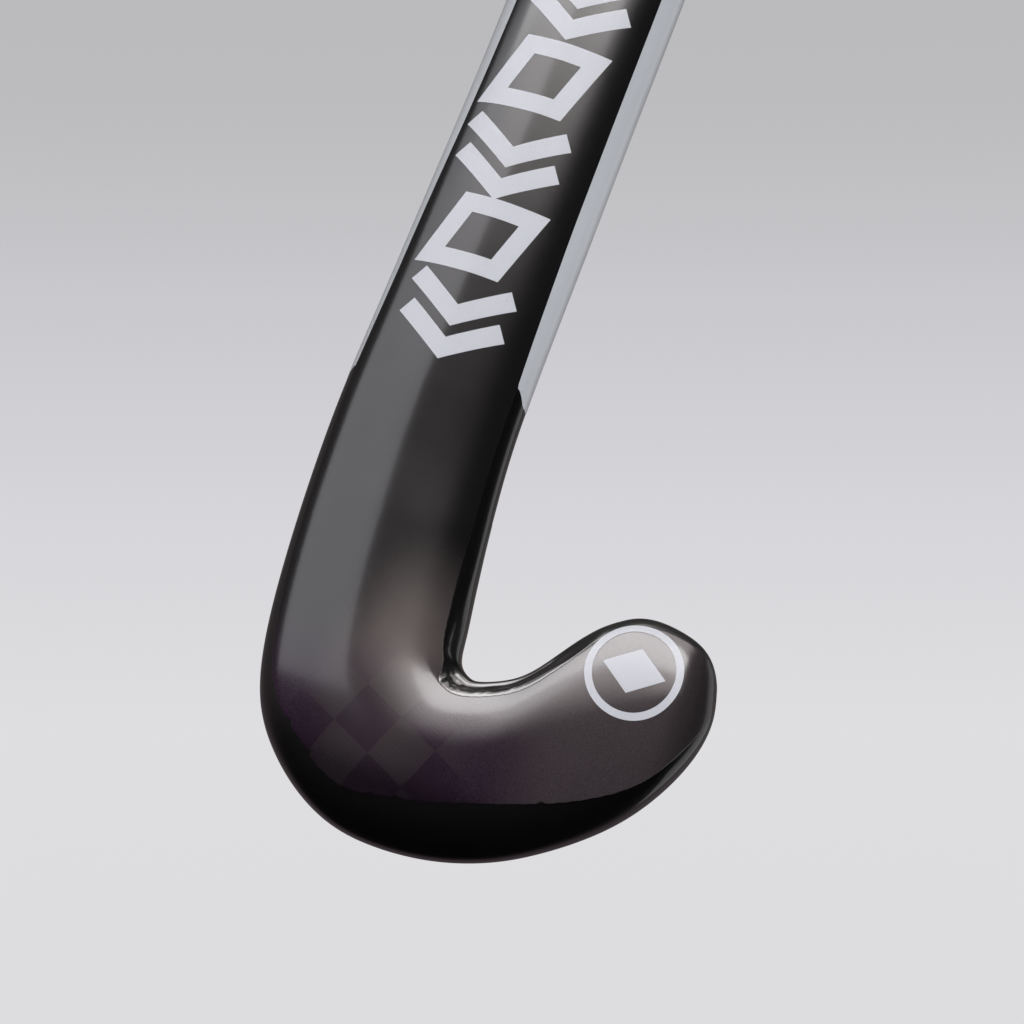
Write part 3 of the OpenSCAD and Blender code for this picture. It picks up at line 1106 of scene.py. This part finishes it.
@dataclass
class Assembly:
    """What the sub-assemblies share: the form, and how a piece is handed over."""

    form: Form

    def skin(
        self, name: str, grid: tuple[int, int], shape: Callable[[Array, Array], Array], thickness: float,
        finish: Finish, slot: str, *nodes: str,
    ) -> None:
        """Model a thin piece as a sheet with a thickness, and hand it over.

        Args:
            name: the piece's name.
            grid: faces across and along.
            shape: gives its outer points in metres for places across and along, both from 0 to 1.
            thickness: its thickness in millimetres.
            finish: its finish.
            slot: the record's material slot.
            nodes: the CAD nodes that it stands for.
        """
        piece = Bench.sheet(name, *grid, shape)
        Bench.thicken(piece, thickness)
        Bench.soften(piece, 60.0)
        self.hand_over(piece, finish, slot, *nodes)

    def hand_over(self, piece: bpy.types.Object, finish: Finish, slot: str, *nodes: str) -> None:
        """Dress a piece and tie it to the frame.

        Args:
            piece: the finished piece.
            finish: its finish.
            slot: the record's material slot; not used.
            nodes: the CAD nodes that it stands for.
        """
        piece.data.materials.clear()
        piece.data.materials.append(finish.make())
        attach(piece, "root")
        if nodes:
            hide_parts(*nodes)
        log.info("%s: %d faces, %s", piece.name, len(piece.data.polygons), finish.name)


@dataclass
class Moulding(Assembly):
    """The carbon moulding and the columns, web, foam and plugs inside it."""

    rings: int = 300
    girth_steps: int = 100

    def build(self) -> None:
        """Model the moulding and dress what lies inside it."""
        self.shell()
        inside = {
            "core_toe_side": Finishes.core_foam,
            "core_heel_side": Finishes.core_foam,
            "centre_web": Finishes.raw_carbon,
            "head_core": Finishes.head_foam,
            "damper_plug": Finishes.damper,
            "butt_plug": Finishes.plug_foam,
            "grip_underlay": Finishes.underlay,
        }
        for name, finish in inside.items():
            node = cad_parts[name]
            node.data.materials.clear()
            node.data.materials.append(finish.make())
            log.info("%s: dressed in %s", name, finish.name)

    def shell(self) -> None:
        """Model the outer skin from a sheet wrapped round every section and closed at both ends."""
        top = float(self.form.station_at(self.form.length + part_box("laminate_shell")[1].z / MM))

        def shape(a: Array, b: Array) -> Array:
            """Return points of the moulding's skin.

            Args:
                a: places across the sheet, from 0 to 1.
                b: places along the sheet, from 0 to 1.

            Returns:
                The points in metres.
            """
            t = np.interp(b, [0, 0.04, 0.12, 0.72, 1], [self.form.tip, self.form.tip - 0.12, 26.6, 13, top])
            girth = np.interp(a, [0, 0.1, 0.35, 0.45, 1], [2.0, 1.9, 1.1, 1.0, 0.0])
            return self.form.around(t, girth)

        piece = Bench.sheet("moulding", self.girth_steps, self.rings, shape)
        Bench.merge(piece, 2e-6)
        Bench.cap_holes(piece)
        Bench.soften(piece, 50.0)
        self.hand_over(piece, Finishes.lacquer, "carbon_laminate", "laminate_shell")


@dataclass
class BackPanel(Assembly):
    """The dark film on the back, the ply under it at the heel, and the wear ply in the hook."""

    thickness: float = 0.14
    lift: float = 0.16
    head_lift: float = 0.36
    bead: float = 0.42
    heel_run: tuple[float, float] = (15.0, 22.0)
    heel_inset: float = 0.97
    heel_reach: float = 0.42
    heel_lift: float = 0.17
    lip_run: tuple[float, float] = (15.0, 24.0)
    lip_thickness: float = 0.12
    toe_edge: tuple[tuple[float, float], ...] = (
        (5, 0.8), (8, 0.82), (10, 0.83), (12, 0.84), (13.6, 0.89), (14.4, 0.88), (15.2, 0.87),
        (16, 0.85), (17, 0.84), (18.1, 0.86), (18.6, 0.78), (18.9, 0.71), (19.4, 0.7), (20.3, 0.66),
        (21.5, 0.66), (22.4, 0.61), (23.1, 0.67), (23.7, 0.8), (24.6, 0.86), (25.5, 0.86),
        (26.6, 0.82), (27.2, 0.7),
    )
    heel_edge: tuple[tuple[float, float], ...] = (
        (5, 0.8), (8, 0.8), (10.5, 0.81), (11.3, 0.84), (12.1, 0.88), (13.1, 0.9), (13.9, 0.92),
        (14.6, 0.89), (15.9, 0.89), (16.5, 0.87), (17, 0.85), (17.7, 0.81), (18.4, 0.75),
        (18.9, 0.71), (19.3, 0.73), (20.2, 0.7), (21.2, 0.57), (22.3, 0.54), (23.5, 0.62),
        (25.1, 0.76), (25.9, 0.82), (26.6, 0.79), (27.2, 0.66),
    )
    nicks: tuple[tuple[float, float], ...] = (
        (18.45, 0.03), (19.1, 0.035), (20.7, 0.025), (21.15, 0.02), (23.9, 0.02),
    )

    def edge_share(self, t: Array, side: Side) -> Array:
        """Return the share at which the film ends on a side, with its small nicks in the head.

        Args:
            t: stations along the stick.
            side: the side of the stick.

        Returns:
            The shares of the half chord.
        """
        table = np.array(self.toe_edge if side is Side.TOE else self.heel_edge)
        u = np.interp(t, table[:, 0], table[:, 1])
        for k in (-0.15, 0.15):
            u = u + np.interp(t + k, table[:, 0], table[:, 1])
        u = u / 3
        rough = smooth(t, 15.5, 17.5) * 0.004
        u = u + rough * (np.sin(t * 23.0) * 0.6 + np.sin(t * 61.0 + 1.0) * 0.4)
        if side is Side.HEEL:
            for at, depth in self.nicks:
                u = u - depth * bump(t, at, 0.05)
        return u

    def height(self, t: Array) -> Array:
        """Return how far the film's top lies over the moulding."""
        return self.lift + (self.head_lift - self.lift) * smooth(t, 14.4, 15.4)

    def build(self) -> None:
        """Model the film and both plies."""
        form = self.form
        top = float(form.station_at(form.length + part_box("back_film")[1].z / MM))
        foot = form.tip - 0.25

        def film(a: Array, b: Array) -> Array:
            """Return points of the film's top.

            Args:
                a: places across the sheet, from 0 to 1.
                b: places along the sheet, from 0 to 1.

            Returns:
                The points in metres.
            """
            t = np.interp(b, [0, 0.05, 0.75, 1], [foot, foot - 0.3, 14, top])
            low, high = -self.edge_share(t, Side.HEEL), self.edge_share(t, Side.TOE)
            w = form.girth_of(t, low) + (form.girth_of(t, high) - form.girth_of(t, low)) * a
            rim = smooth(np.minimum(a, 1 - a), 0.0, 0.02) * smooth(b, 0, 0.006)
            return form.around(t, w, self.height(t) * (0.45 + 0.55 * rim))

        def heel(a: Array, b: Array) -> Array:
            """Return points of the heel ply's top.

            Args:
                a: places across the sheet, from 0 to 1.
                b: places along the sheet, from 0 to 1.

            Returns:
                The points in metres.
            """
            first, last = self.heel_run
            t = last + (first - last) * b
            low = form.girth_of(t, -self.edge_share(t, Side.HEEL) * self.heel_inset)
            w = low + (self.heel_reach - low) * a
            return form.around(t, w, self.heel_lift)

        self.skin("back_panel", (72, 420), film, self.thickness, Finishes.back_film, "dark_film", "back_film")
        self.skin("heel_weave", (30, 90), heel, 0.15, Finishes.spread_tow, "spread_tow", "heel_ply")
        self.hook_lip()

    def hook_lip(self) -> None:
        """Model the glossy ply inside the hook, with the bead of resin where the film ends on it."""
        form = self.form
        first, last = self.lip_run

        def shape(a: Array, b: Array) -> Array:
            """Return points of the ply's top.

            Args:
                a: places across the sheet, from 0 to 1.
                b: places along the sheet, from 0 to 1.

            Returns:
                The points in metres.
            """
            t = first + (last - first) * (1 - b)
            inner = form.girth_of(t, self.edge_share(t, Side.TOE)) + 0.012
            w = inner + (-0.05 - inner) * a
            ends = smooth(b, 0, 0.06) * smooth(1 - b, 0, 0.1)
            rough = 0.75 + 0.15 * np.sin(t * 7.0) + 0.1 * np.sin(t * 17.0 + 2.0)
            ridge = bump(a, 0.12 + 0.04 * smooth(t, 19.5, 23), 0.045) * rough
            ridge = ridge + 0.4 * bump(a, 0.25 + 0.04 * np.sin(t * 4.0), 0.04)
            ridge = ridge * smooth(t, 18.2, 18.9) * (1 - smooth(t, 21.0, 23.4))
            ridge = ridge + 1.1 * bump(a, 0.1, 0.07) * bump(t, 18.9, 0.13)
            drip = 0.06 * np.sin(a * 9.0 + t * 2.3) * smooth(a, 0.2, 0.5)
            rim = smooth(a, 0, 0.03) * smooth(1 - a, 0, 0.08)
            return form.around(t, w, (0.05 + (0.2 + drip + self.bead * ridge) * ends) * rim + 0.01)

        self.skin(
            "hook_lip", (44, 300), shape, self.lip_thickness, Finishes.hook_lacquer, "hook_ply", "hook_ply"
        )


@dataclass
class SideFilms(Assembly):
    """The white films along both sides, the dark film on the face and the woven ply on the head."""

    panel: BackPanel
    lift: float = 0.1
    toe_foot: float = 13.62
    heel_foot: float = 13.75
    face_foot: float = 13.7
    face_reach: float = 0.43
    ply_top: float = 15.0
    ply_gap: float = 1.2
    ply_thickness: float = 0.6

    def build(self) -> None:
        """Model the two side films, the face film and the face ply."""
        self.side(Side.TOE)
        self.side(Side.HEEL)
        self.face()
        self.ply()

    def side(self, side: Side) -> None:
        """Model one white film, whose lower end is cut to a curve.

        Args:
            side: the side it covers.
        """
        form = self.form
        name = "side_film_toe" if side is Side.TOE else "side_film_heel"
        top = float(form.station_at(form.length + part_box(name)[1].z / MM))

        def shape(a: Array, b: Array) -> Array:
            """Return points of the white film's top.

            Args:
                a: places across the sheet, from 0 to 1.
                b: places along the sheet, from 0 to 1.

            Returns:
                The points in metres.
            """
            out = 1 - a if side is Side.HEEL else a
            if side is Side.TOE:
                foot = self.toe_foot - 0.12 * smooth(0.55 - out, 0, 0.5)
            else:
                foot = self.heel_foot + 0.2 * smooth(out, 0.1, 0.9)
            t = top + (foot - top) * (1 - b)
            edge = form.girth_of(t, side.value * (self.panel.edge_share(t, side) - 0.02))
            rim = -0.055 if side is Side.TOE else 1.055
            w = edge + (rim - edge) * out
            fade = smooth(1 - out, 0, 0.08) * smooth(b, 0, 0.004)
            return form.around(t, w, self.lift * (0.3 + 0.7 * fade))

        self.skin("white_" + name, (24, 240), shape, 0.08, Finishes.white_film, "white_film", name)

    def face(self) -> None:
        """Model the dark film on the playing side of the shaft."""
        form = self.form
        top = float(form.station_at(form.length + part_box("face_film")[1].z / MM))

        def shape(a: Array, b: Array) -> Array:
            """Return points of the face film's top.

            Args:
                a: places across the sheet, from 0 to 1.
                b: places along the sheet, from 0 to 1.

            Returns:
                The points in metres.
            """
            t = self.face_foot + (top - self.face_foot) * b
            w = 1.5 + self.face_reach * (0.5 - a) * 2
            rim = smooth(np.minimum(a, 1 - a), 0, 0.03)
            return form.around(t, w, 0.12 + 0.06 * rim)

        self.skin("shaft_face_film", (48, 240), shape, 0.1, Finishes.face_film, "dark_film", "face_film")

    def ply(self) -> None:
        """Model the woven ply on the flat of the head, rounded off at the toe."""
        form = self.form
        foot = form.tip - self.ply_gap

        def shape(a: Array, b: Array) -> Array:
            """Return points of the face ply's top.

            Args:
                a: places across the sheet, from 0 to 1.
                b: places along the sheet, from 0 to 1.

            Returns:
                The points in metres.
            """
            t = self.ply_top + (foot - self.ply_top) * (1 - b)
            s = form.section(t)
            ends = np.sqrt(np.clip(1 - (1 - np.clip(b / 0.06, 0, 1)) ** 2, 0, 1))
            reach = (1 - (form.edge_radius + 2) / s["half"]) * ends
            u = (1 - 2 * a) * reach
            rim = smooth(np.minimum(a, 1 - a), 0, 0.03) * smooth(b, 0, 0.01) * smooth(1 - b, 0, 0.01)
            return form.place(s, u, s["face"] + self.ply_thickness * (0.2 + 0.8 * rim))

        self.skin("face_weave", (48, 200), shape, 0.3, Finishes.face_ply, "face_ply", "face_ply")


@dataclass
class Graphics(Assembly):
    """The white shapes on the film: a row of chevrons and frames, and the emblem on the toe."""

    panel: BackPanel
    stroke: float = 4.9
    width: float = 28.0
    block: float = 20.5
    thickness: float = 0.07
    emblem_at: tuple[float, float] = (72.9, 59.1)
    emblem_near: tuple[float, float] = (25.0, 0.38)
    emblem_radius: float = 12.5
    ring_width: float = 1.9
    rhombus: tuple[float, float] = (8.4, 6.0)
    block_heights: tuple[float, ...] = (130.5, 152.0, 174.5, 197.5, 221.0, 244.5)

    def lay(
        self, name: str, columns: int, rows: int, path: Callable[[Array, Array], tuple[Array, Array]],
        near: tuple[float, float],
    ) -> bpy.types.Object:
        """Lay a flat shape on the film.

        Args:
            name: the piece's name.
            columns: faces across.
            rows: faces along.
            path: gives x and height in millimetres for places across and along.
            near: a station and a share near the shape.

        Returns:
            The new piece, with its thickness.
        """
        form = self.form

        def shape(a: Array, b: Array) -> Array:
            """Return points of the shape's top.

            Args:
                a: places across the sheet, from 0 to 1.
                b: places along the sheet, from 0 to 1.

            Returns:
                The points in metres.
            """
            x, h = path(a, b)
            t, u = form.find(x, h, *near)
            return form.back(t, u, self.panel.height(t) + self.thickness + 0.02)

        piece = Bench.sheet(name, columns, rows, shape)
        Bench.merge(piece, 1e-7)
        Bench.thicken(piece, self.thickness)
        return piece

    def stroke_path(
        self, points: Sequence[tuple[float, float]], centre: tuple[float, float], closed: bool, width: float
    ) -> Callable[[Array, Array], tuple[Array, Array]]:
        """Return the path of a stroke with mitred corners.

        Args:
            points: the corners of its middle line, round the centre.
            centre: x and height of the centre.
            closed: whether the last corner joins the first.
            width: the stroke's width.

        Returns:
            The stroke's path, for places across and along it.
        """
        p = np.array(points, float)
        if closed:
            p = np.vstack([p, p[:1]])
        run = np.diff(p, axis=0)
        run /= np.linalg.norm(run, axis=1)[:, None]
        normal = np.stack([-run[:, 1], run[:, 0]], -1)
        before = np.vstack([normal[-1:] if closed else normal[:1], normal])
        after = np.vstack([normal, normal[:1] if closed else normal[-1:]])
        mitre = before + after
        mitre /= np.linalg.norm(mitre, axis=1)[:, None]
        mitre *= (width / 2 / np.sum(mitre * before, axis=1))[:, None]
        stops = np.linspace(0, 1, len(p))

        def path(a: Array, b: Array) -> tuple[Array, Array]:
            """Return the places along the stroke.

            Args:
                a: places across the sheet, from 0 to 1.
                b: places along the sheet, from 0 to 1.

            Returns:
                x and height of the points, in millimetres.
            """
            side = 1 - 2 * a
            x = np.interp(b, stops, p[:, 0]) + side * np.interp(b, stops, mitre[:, 0])
            h = np.interp(b, stops, p[:, 1]) + side * np.interp(b, stops, mitre[:, 1])
            return x + centre[0], h + centre[1]

        return path

    def block_strokes(self, height: float, framed: bool) -> list[bpy.types.Object]:
        """Model one block of the row: a slanted frame or two nested chevrons.

        Args:
            height: height of its middle over the sole.
            framed: whether it is a frame.

        Returns:
            The block's strokes.
        """
        x = -1.5 - 1.5 * smooth(height, 110, 180) + 3 * smooth(height, 180, 230)
        centre = (float(x), height)
        near = (float(self.form.station_at(height)), 0.0)
        w, b = self.width / 2, self.block / 2
        strokes: list[tuple[list[tuple[float, float]], bool]] = []
        if framed:
            k, m = w - self.stroke / 2, b - self.stroke / 2
            strokes.append(([(k, m), (-k * 0.55, m), (-k, -m), (k * 0.55, -m)], True))
        else:
            for shift in (-5.4, 3.6):
                strokes.append(([(w - 1, shift + 4.6), (0, shift - 4.2), (1 - w, shift + 4.6)], False))
        made = []
        for k, (corners, closed) in enumerate(strokes):
            path = self.stroke_path(corners, centre, closed, self.stroke)
            made.append(self.lay(f"stroke_{int(height)}_{k}", 6, 80 if closed else 40, path, near))
        return made

    def build(self) -> None:
        """Model the row on the shaft and the emblem on the toe."""
        pieces: list[bpy.types.Object] = []
        for k, height in enumerate(self.block_heights):
            pieces += self.block_strokes(height, k % 2 == 1)
        motif = Bench.join("chevron_row", pieces)
        Bench.merge(motif, 1e-6)
        Bench.soften(motif, 60.0)
        self.hand_over(motif, Finishes.decal, "white_decal", "shaft_motif")
        cx, ch = self.emblem_at
        wide, tall = self.rhombus

        def ring(a: Array, b: Array) -> tuple[Array, Array]:
            """Return the places round the ring.

            Args:
                a: places across the sheet, from 0 to 1.
                b: places along the sheet, from 0 to 1.

            Returns:
                x and height of the points, in millimetres.
            """
            r = self.emblem_radius - self.ring_width * a
            turn = -2 * math.pi * b
            return cx + r * np.cos(turn), ch + r * np.sin(turn)

        def rhombus(a: Array, b: Array) -> tuple[Array, Array]:
            """Return x and height of places over the rhombus."""
            p, q = a - 0.5, b - 0.5
            return cx + (p + q) * wide, ch + (q - p) * tall

        emblem = Bench.join("emblem", [
            self.lay("emblem_ring", 3, 96, ring, self.emblem_near),
            self.lay("emblem_rhombus", 12, 12, rhombus, self.emblem_near),
        ])
        Bench.merge(emblem, 1e-6)
        Bench.soften(emblem, 60.0)
        self.hand_over(emblem, Finishes.decal, "white_decal", "toe_emblem")


@dataclass
class Grip(Assembly):
    """The wound tape, the finishing tape at its foot and the rubber cap on the butt."""

    pitch: float = 26.0
    tape_width: float = 28.5
    over_laminate: float = 2.6
    step_height: float = 0.55
    tape_thickness: float = 1.5
    tape_inset: float = 0.3
    edge_drop: float = 0.35
    lap_dip: float = 0.25
    rows_per_turn: int = 56
    turn_length: float = 0.106
    band_turns: tuple[float, float] = (0.62, 1.7)
    cap_rim: float = 1.1
    cap_rings: tuple[tuple[float, float], ...] = (
        (2.0, 0.0), (0.3, -0.6), (0.8, 0.0), (0.3, 0.6), (2.4, 0.0), (0.3, -0.5), (2.5, 0.0), (0.2, -0.8),
    )

    def build(self) -> None:
        """Model the three pieces."""
        self.tape()
        self.finishing()
        self.cap()

    def handle(self, z: Array, turn: Array, lift: Array | float) -> Array:
        """Return points of the handle at heights z in metres and turns round it.

        Args:
            z: heights in metres, 0 at the butt and down from there.
            turn: turns round the handle.
            lift: height over the moulding, in millimetres.

        Returns:
            The points in metres.
        """
        t = self.form.station_at(self.form.length + np.clip(z / MM, -400, 0))
        points = self.form.around(t, -2 * turn, lift)
        points[..., 2] = z
        return points

    def tape(self) -> None:
        """Model the tape as one strip wound down the handle, each turn lying over the last."""
        low, high = (v.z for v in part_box("grip_tape"))
        low, high = low + self.tape_inset * MM, high - self.tape_inset * MM
        turns = (high - low + self.tape_width * MM) / (self.pitch * MM)

        def shape(a: Array, b: Array) -> Array:
            """Return points of the wound tape's top.

            Args:
                a: places across the sheet, from 0 to 1.
                b: places along the sheet, from 0 to 1.

            Returns:
                The points in metres.
            """
            turn = b * turns
            foot = high - turn * self.pitch * MM
            z = np.clip(foot + a * self.tape_width * MM, low, high)
            share = 1 - (z - foot) / (self.tape_width * MM)
            raised = self.step_height * smooth(share, 0.78, 0.93)
            rim = self.edge_drop * (1 - smooth(1 - share, 0.0, 0.035))
            dip = self.lap_dip * (1 - smooth(share, 0.02, 0.14))
            lift = self.over_laminate - self.step_height + raised - rim - dip
            return self.handle(z, turn, lift)

        rows = int(turns * self.rows_per_turn)
        length = turns * self.turn_length
        piece = Bench.sheet("wound_tape", 22, rows, shape, (self.tape_width * MM, length))
        Bench.flip(piece)
        Bench.merge(piece, 5e-6, False)
        Bench.thicken(piece, self.tape_thickness)
        Bench.soften(piece, 50.0)
        self.hand_over(piece, Finishes.grip_tape, "grip_tape", "grip_tape")

    def finishing(self) -> None:
        """Model the vinyl tape with its loose end lying over the first turn."""
        low, high = (v.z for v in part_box("finish_tape"))

        def shape(a: Array, b: Array) -> Array:
            """Return points of the band's top.

            Args:
                a: places across the sheet, from 0 to 1.
                b: places along the sheet, from 0 to 1.

            Returns:
                The points in metres.
            """
            turn = self.band_turns[0] + (self.band_turns[1] - self.band_turns[0]) * b
            z = high - (high - low) * (1 - a)
            z = z + 0.0004 * np.sin(turn * 11.0) * (2 * a - 1)
            lift = 0.22 + 0.15 * smooth(b, 0.9, 0.94) - 0.12 * (1 - smooth(np.minimum(a, 1 - a), 0, 0.05))
            return self.handle(z, turn, lift)

        piece = Bench.sheet("vinyl_band", 16, 150, shape, (0.02, 0.1))
        Bench.flip(piece)
        Bench.thicken(piece, 0.16)
        Bench.soften(piece, 50.0)
        self.hand_over(piece, Finishes.finish_tape, "finish_tape", "finish_tape")

    def cap(self) -> None:
        """Model the cap from a cylinder: rounded at the rim, with a sunk ring and a vent, then made oval."""
        low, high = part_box("butt_cap")
        radius, depth = (high.x - low.x) / 2, (high.y - low.y) / 2
        rim = self.cap_rim * MM
        Bench.clear()
        bpy.ops.mesh.primitive_cylinder_add(
            vertices=96, radius=radius, depth=high.z - low.z - rim, end_fill_type="NGON",
            location=(0, 0, (low.z + high.z - rim) / 2),
        )
        piece = bpy.context.object
        piece.name = piece.data.name = "end_cap"
        bpy.ops.object.transform_apply(location=True, rotation=False, scale=False)
        bpy.ops.object.mode_set(mode="EDIT")
        mesh = bmesh.from_edit_mesh(piece.data)
        for item in mesh.faces:
            item.select_set(item.normal.z > 0.9)
        bmesh.update_edit_mesh(piece.data)
        turns = np.radians(np.linspace(0, 90, 6))
        rounding = zip(np.diff(1 - np.cos(turns)) * rim, np.diff(np.sin(turns)) * rim)
        for shrink, rise in (*rounding, *((a * MM, b * MM) for a, b in self.cap_rings)):
            bpy.ops.mesh.extrude_region_move(TRANSFORM_OT_translate={"value": (0, 0, float(rise))})
            share = float((radius - shrink) / radius)
            bpy.ops.transform.resize(value=(share, share, 1), center_override=(0, 0, 0))
            radius -= shrink
        bpy.ops.mesh.select_all(action="SELECT")
        bpy.ops.transform.resize(value=(1, depth / ((high.x - low.x) / 2), 1), center_override=(0, 0, 0))
        bpy.ops.object.mode_set(mode="OBJECT")
        Bench.soften(piece, 35.0)
        self.hand_over(piece, Finishes.cap, "cap_rubber", "butt_cap")


# --- The studio ---


@dataclass
class Softbox:
    """A soft rectangular light."""

    name: str
    place: tuple[float, float, float]
    aim: tuple[float, float, float]
    size: tuple[float, float]
    watts: float
    colour: Colour = (1.0, 1.0, 1.0)
    in_gloss: bool = True
    in_diffuse: bool = False

    def build(self) -> None:
        """Add the light, unseen by the camera."""
        Bench.clear()
        bpy.ops.object.light_add(type="AREA", location=self.place)
        lamp = bpy.context.object
        lamp.name = self.name
        lamp.data.shape = "RECTANGLE"
        lamp.data.size, lamp.data.size_y = self.size
        lamp.data.energy = self.watts
        lamp.data.color = self.colour
        lamp.visible_camera = False
        lamp.visible_glossy = self.in_gloss
        lamp.visible_diffuse = self.in_diffuse
        look = Vector(self.aim) - Vector(self.place)
        lamp.rotation_euler = look.to_track_quat("-Z", "Y").to_euler()


@dataclass
class Studio:
    """Floor, light and camera."""

    yaw: float = 11.0
    elevation: float = -17.0
    roll: float = 21.86
    lens: float = 120.2
    place: tuple[float, float, float] = (0.18756, -0.7994, -1.09246)
    floor_height: float = -1.4

    def axes(self) -> tuple[Vector, Vector, Vector]:
        """Return the camera's right, up and back directions.

        Returns:
            Three unit directions.
        """
        a, e, r = (math.radians(v) for v in (self.yaw, self.elevation, self.roll))
        back = Vector((math.sin(a) * math.cos(e), -math.cos(a) * math.cos(e), math.sin(e)))
        level = (-back).cross(Vector((0, 0, 1))).normalized()
        upright = level.cross(-back)
        up = upright * math.cos(r) - level * math.sin(r)
        right = level * math.cos(r) + upright * math.sin(r)
        return right, up, back

    def build(self) -> None:
        """Add everything round the stick."""
        self.camera()
        self.floor()
        self.world()
        for light in self.lights():
            light.build()
        bpy.context.scene.view_settings.view_transform = "Standard"

    def camera(self) -> None:
        """Add the camera: below the head, looking up along the shaft."""
        right, up, back = self.axes()
        Bench.clear()
        bpy.ops.object.camera_add(location=self.place)
        camera = bpy.context.object
        camera.name = "camera"
        camera.data.lens = self.lens
        camera.data.sensor_width = 36.0
        camera.data.clip_start = 0.01
        camera.rotation_euler = Matrix((right, up, back)).transposed().to_euler()
        bpy.context.scene.camera = camera

    def floor(self) -> None:
        """Add the pale floor, well below the hanging stick."""
        Bench.clear()
        bpy.ops.mesh.primitive_circle_add(
            vertices=96, radius=60, fill_type="NGON", location=(0, 0, self.floor_height)
        )
        floor = bpy.context.object
        floor.name = "floor"
        bpy.ops.object.transform_apply(location=True, rotation=False, scale=False)
        floor.data.materials.append(Finishes.floor.make())
        floor.visible_glossy = False

    def world(self) -> None:
        """Light softly from all round, but leave the reflections to the softboxes."""
        world = bpy.data.worlds.new("studio")
        bpy.context.scene.world = world
        world.use_nodes = True
        g = Graph(world.node_tree)
        _, up, back = self.axes()
        ray = g.node("ShaderNodeTexCoord", output="Generated")
        rise = g.node("ShaderNodeVectorMath", {"operation": "DOT_PRODUCT"}, {0: ray, 1: tuple(up)}, 1)
        seen = g.node(
            "ShaderNodeValToRGB",
            {"stops": [
                (0.0, (0.722, 0.72, 0.738, 1)), (0.2, (0.732, 0.73, 0.75, 1)),
                (0.37, (0.7, 0.697, 0.722, 1)), (0.52, (0.668, 0.662, 0.695, 1)),
                (0.79, (0.588, 0.582, 0.61, 1)), (1.0, (0.494, 0.491, 0.505, 1)),
            ]},
            {0: rise.rise(-0.15, 0.15)},
        )
        path = g.node("ShaderNodeLightPath", output="Is Camera Ray")
        gloss = g.node("ShaderNodeLightPath", output="Is Glossy Ray")
        x, y, z = g.parts(ray)
        front = g.node(
            "ShaderNodeValToRGB",
            {"stops": [
                (0.0, (0.002, 0.002, 0.002, 1)), (0.22, (0.005, 0.004, 0.005, 1)),
                (0.34, (0.1, 0.075, 0.085, 1)), (0.6, (0.1, 0.09, 0.09, 1)), (1.0, (0.05, 0.05, 0.05, 1)),
            ]},
            {0: z * 0.5 + 0.5},
        )
        front = g.mix(x.rise(0.35, 0.7), front, (0.004, 0.004, 0.004))
        glow = z.rise(0.085, 0.26) * x.rise(-0.75, -0.4) * x.rise(0.1, 0.5, 1.0, 0.0) * (y < 0.0)
        front = g.mix(glow, front, (3.4, 3.15, 3.1))
        behind = g.node("ShaderNodeVectorMath", {"operation": "DOT_PRODUCT"}, {0: ray, 1: tuple(-back)}, 1)
        mirrored = g.mix(behind.rise(0.965, 0.995), front, (0.22, 0.14, 0.1))
        unseen = g.mix(gloss, (0.56, 0.56, 0.58), mirrored)
        colour = g.mix(path, unseen, seen)
        g.node("ShaderNodeOutputWorld", None, {
            "Surface": g.node("ShaderNodeBackground", None, {"Color": colour, "Strength": 1.0})
        })

    def lights(self) -> list[Softbox]:
        """Return the softboxes: over the hook, beside the heel, and behind for the face.

        Returns:
            The softboxes.
        """
        head = (0.03, 0.0, -0.86)
        middle = (0.0, 0.0, -0.5)
        return [
            Softbox("top_box", (-0.32, -1.0, 0.06), head, (1.9, 0.95), 37.0),
            Softbox("left_box", (-1.0, -0.95, -0.72), head, (1.45, 0.95), 9.4, (0.96, 0.95, 1.0)),
            Softbox("key", (-0.9, -1.2, 0.3), head, (0.9, 0.9), 9.0, in_gloss=False, in_diffuse=True),
            Softbox("right_fill", (1.3, -0.3, -0.6), head, (0.8, 1.2), 4.6, in_gloss=False, in_diffuse=True),
            Softbox("face_high", (-0.2, 1.3, 0.7), middle, (0.9, 0.7), 12.0, in_gloss=False, in_diffuse=True),
            Softbox("face_strip", (0.9, 0.9, -0.5), middle, (0.5, 1.5), 0.9),
        ]


def main() -> None:
    """Build the stick, then the studio round it."""
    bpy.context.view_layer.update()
    form = Form()
    panel = BackPanel(form)
    for assembly in (Moulding(form), panel, SideFilms(form, panel), Graphics(form, panel), Grip(form)):
        assembly.build()
        log.info("%s finished", type(assembly).__name__)
    Studio().build()


if __name__ == "__main__":
    main()
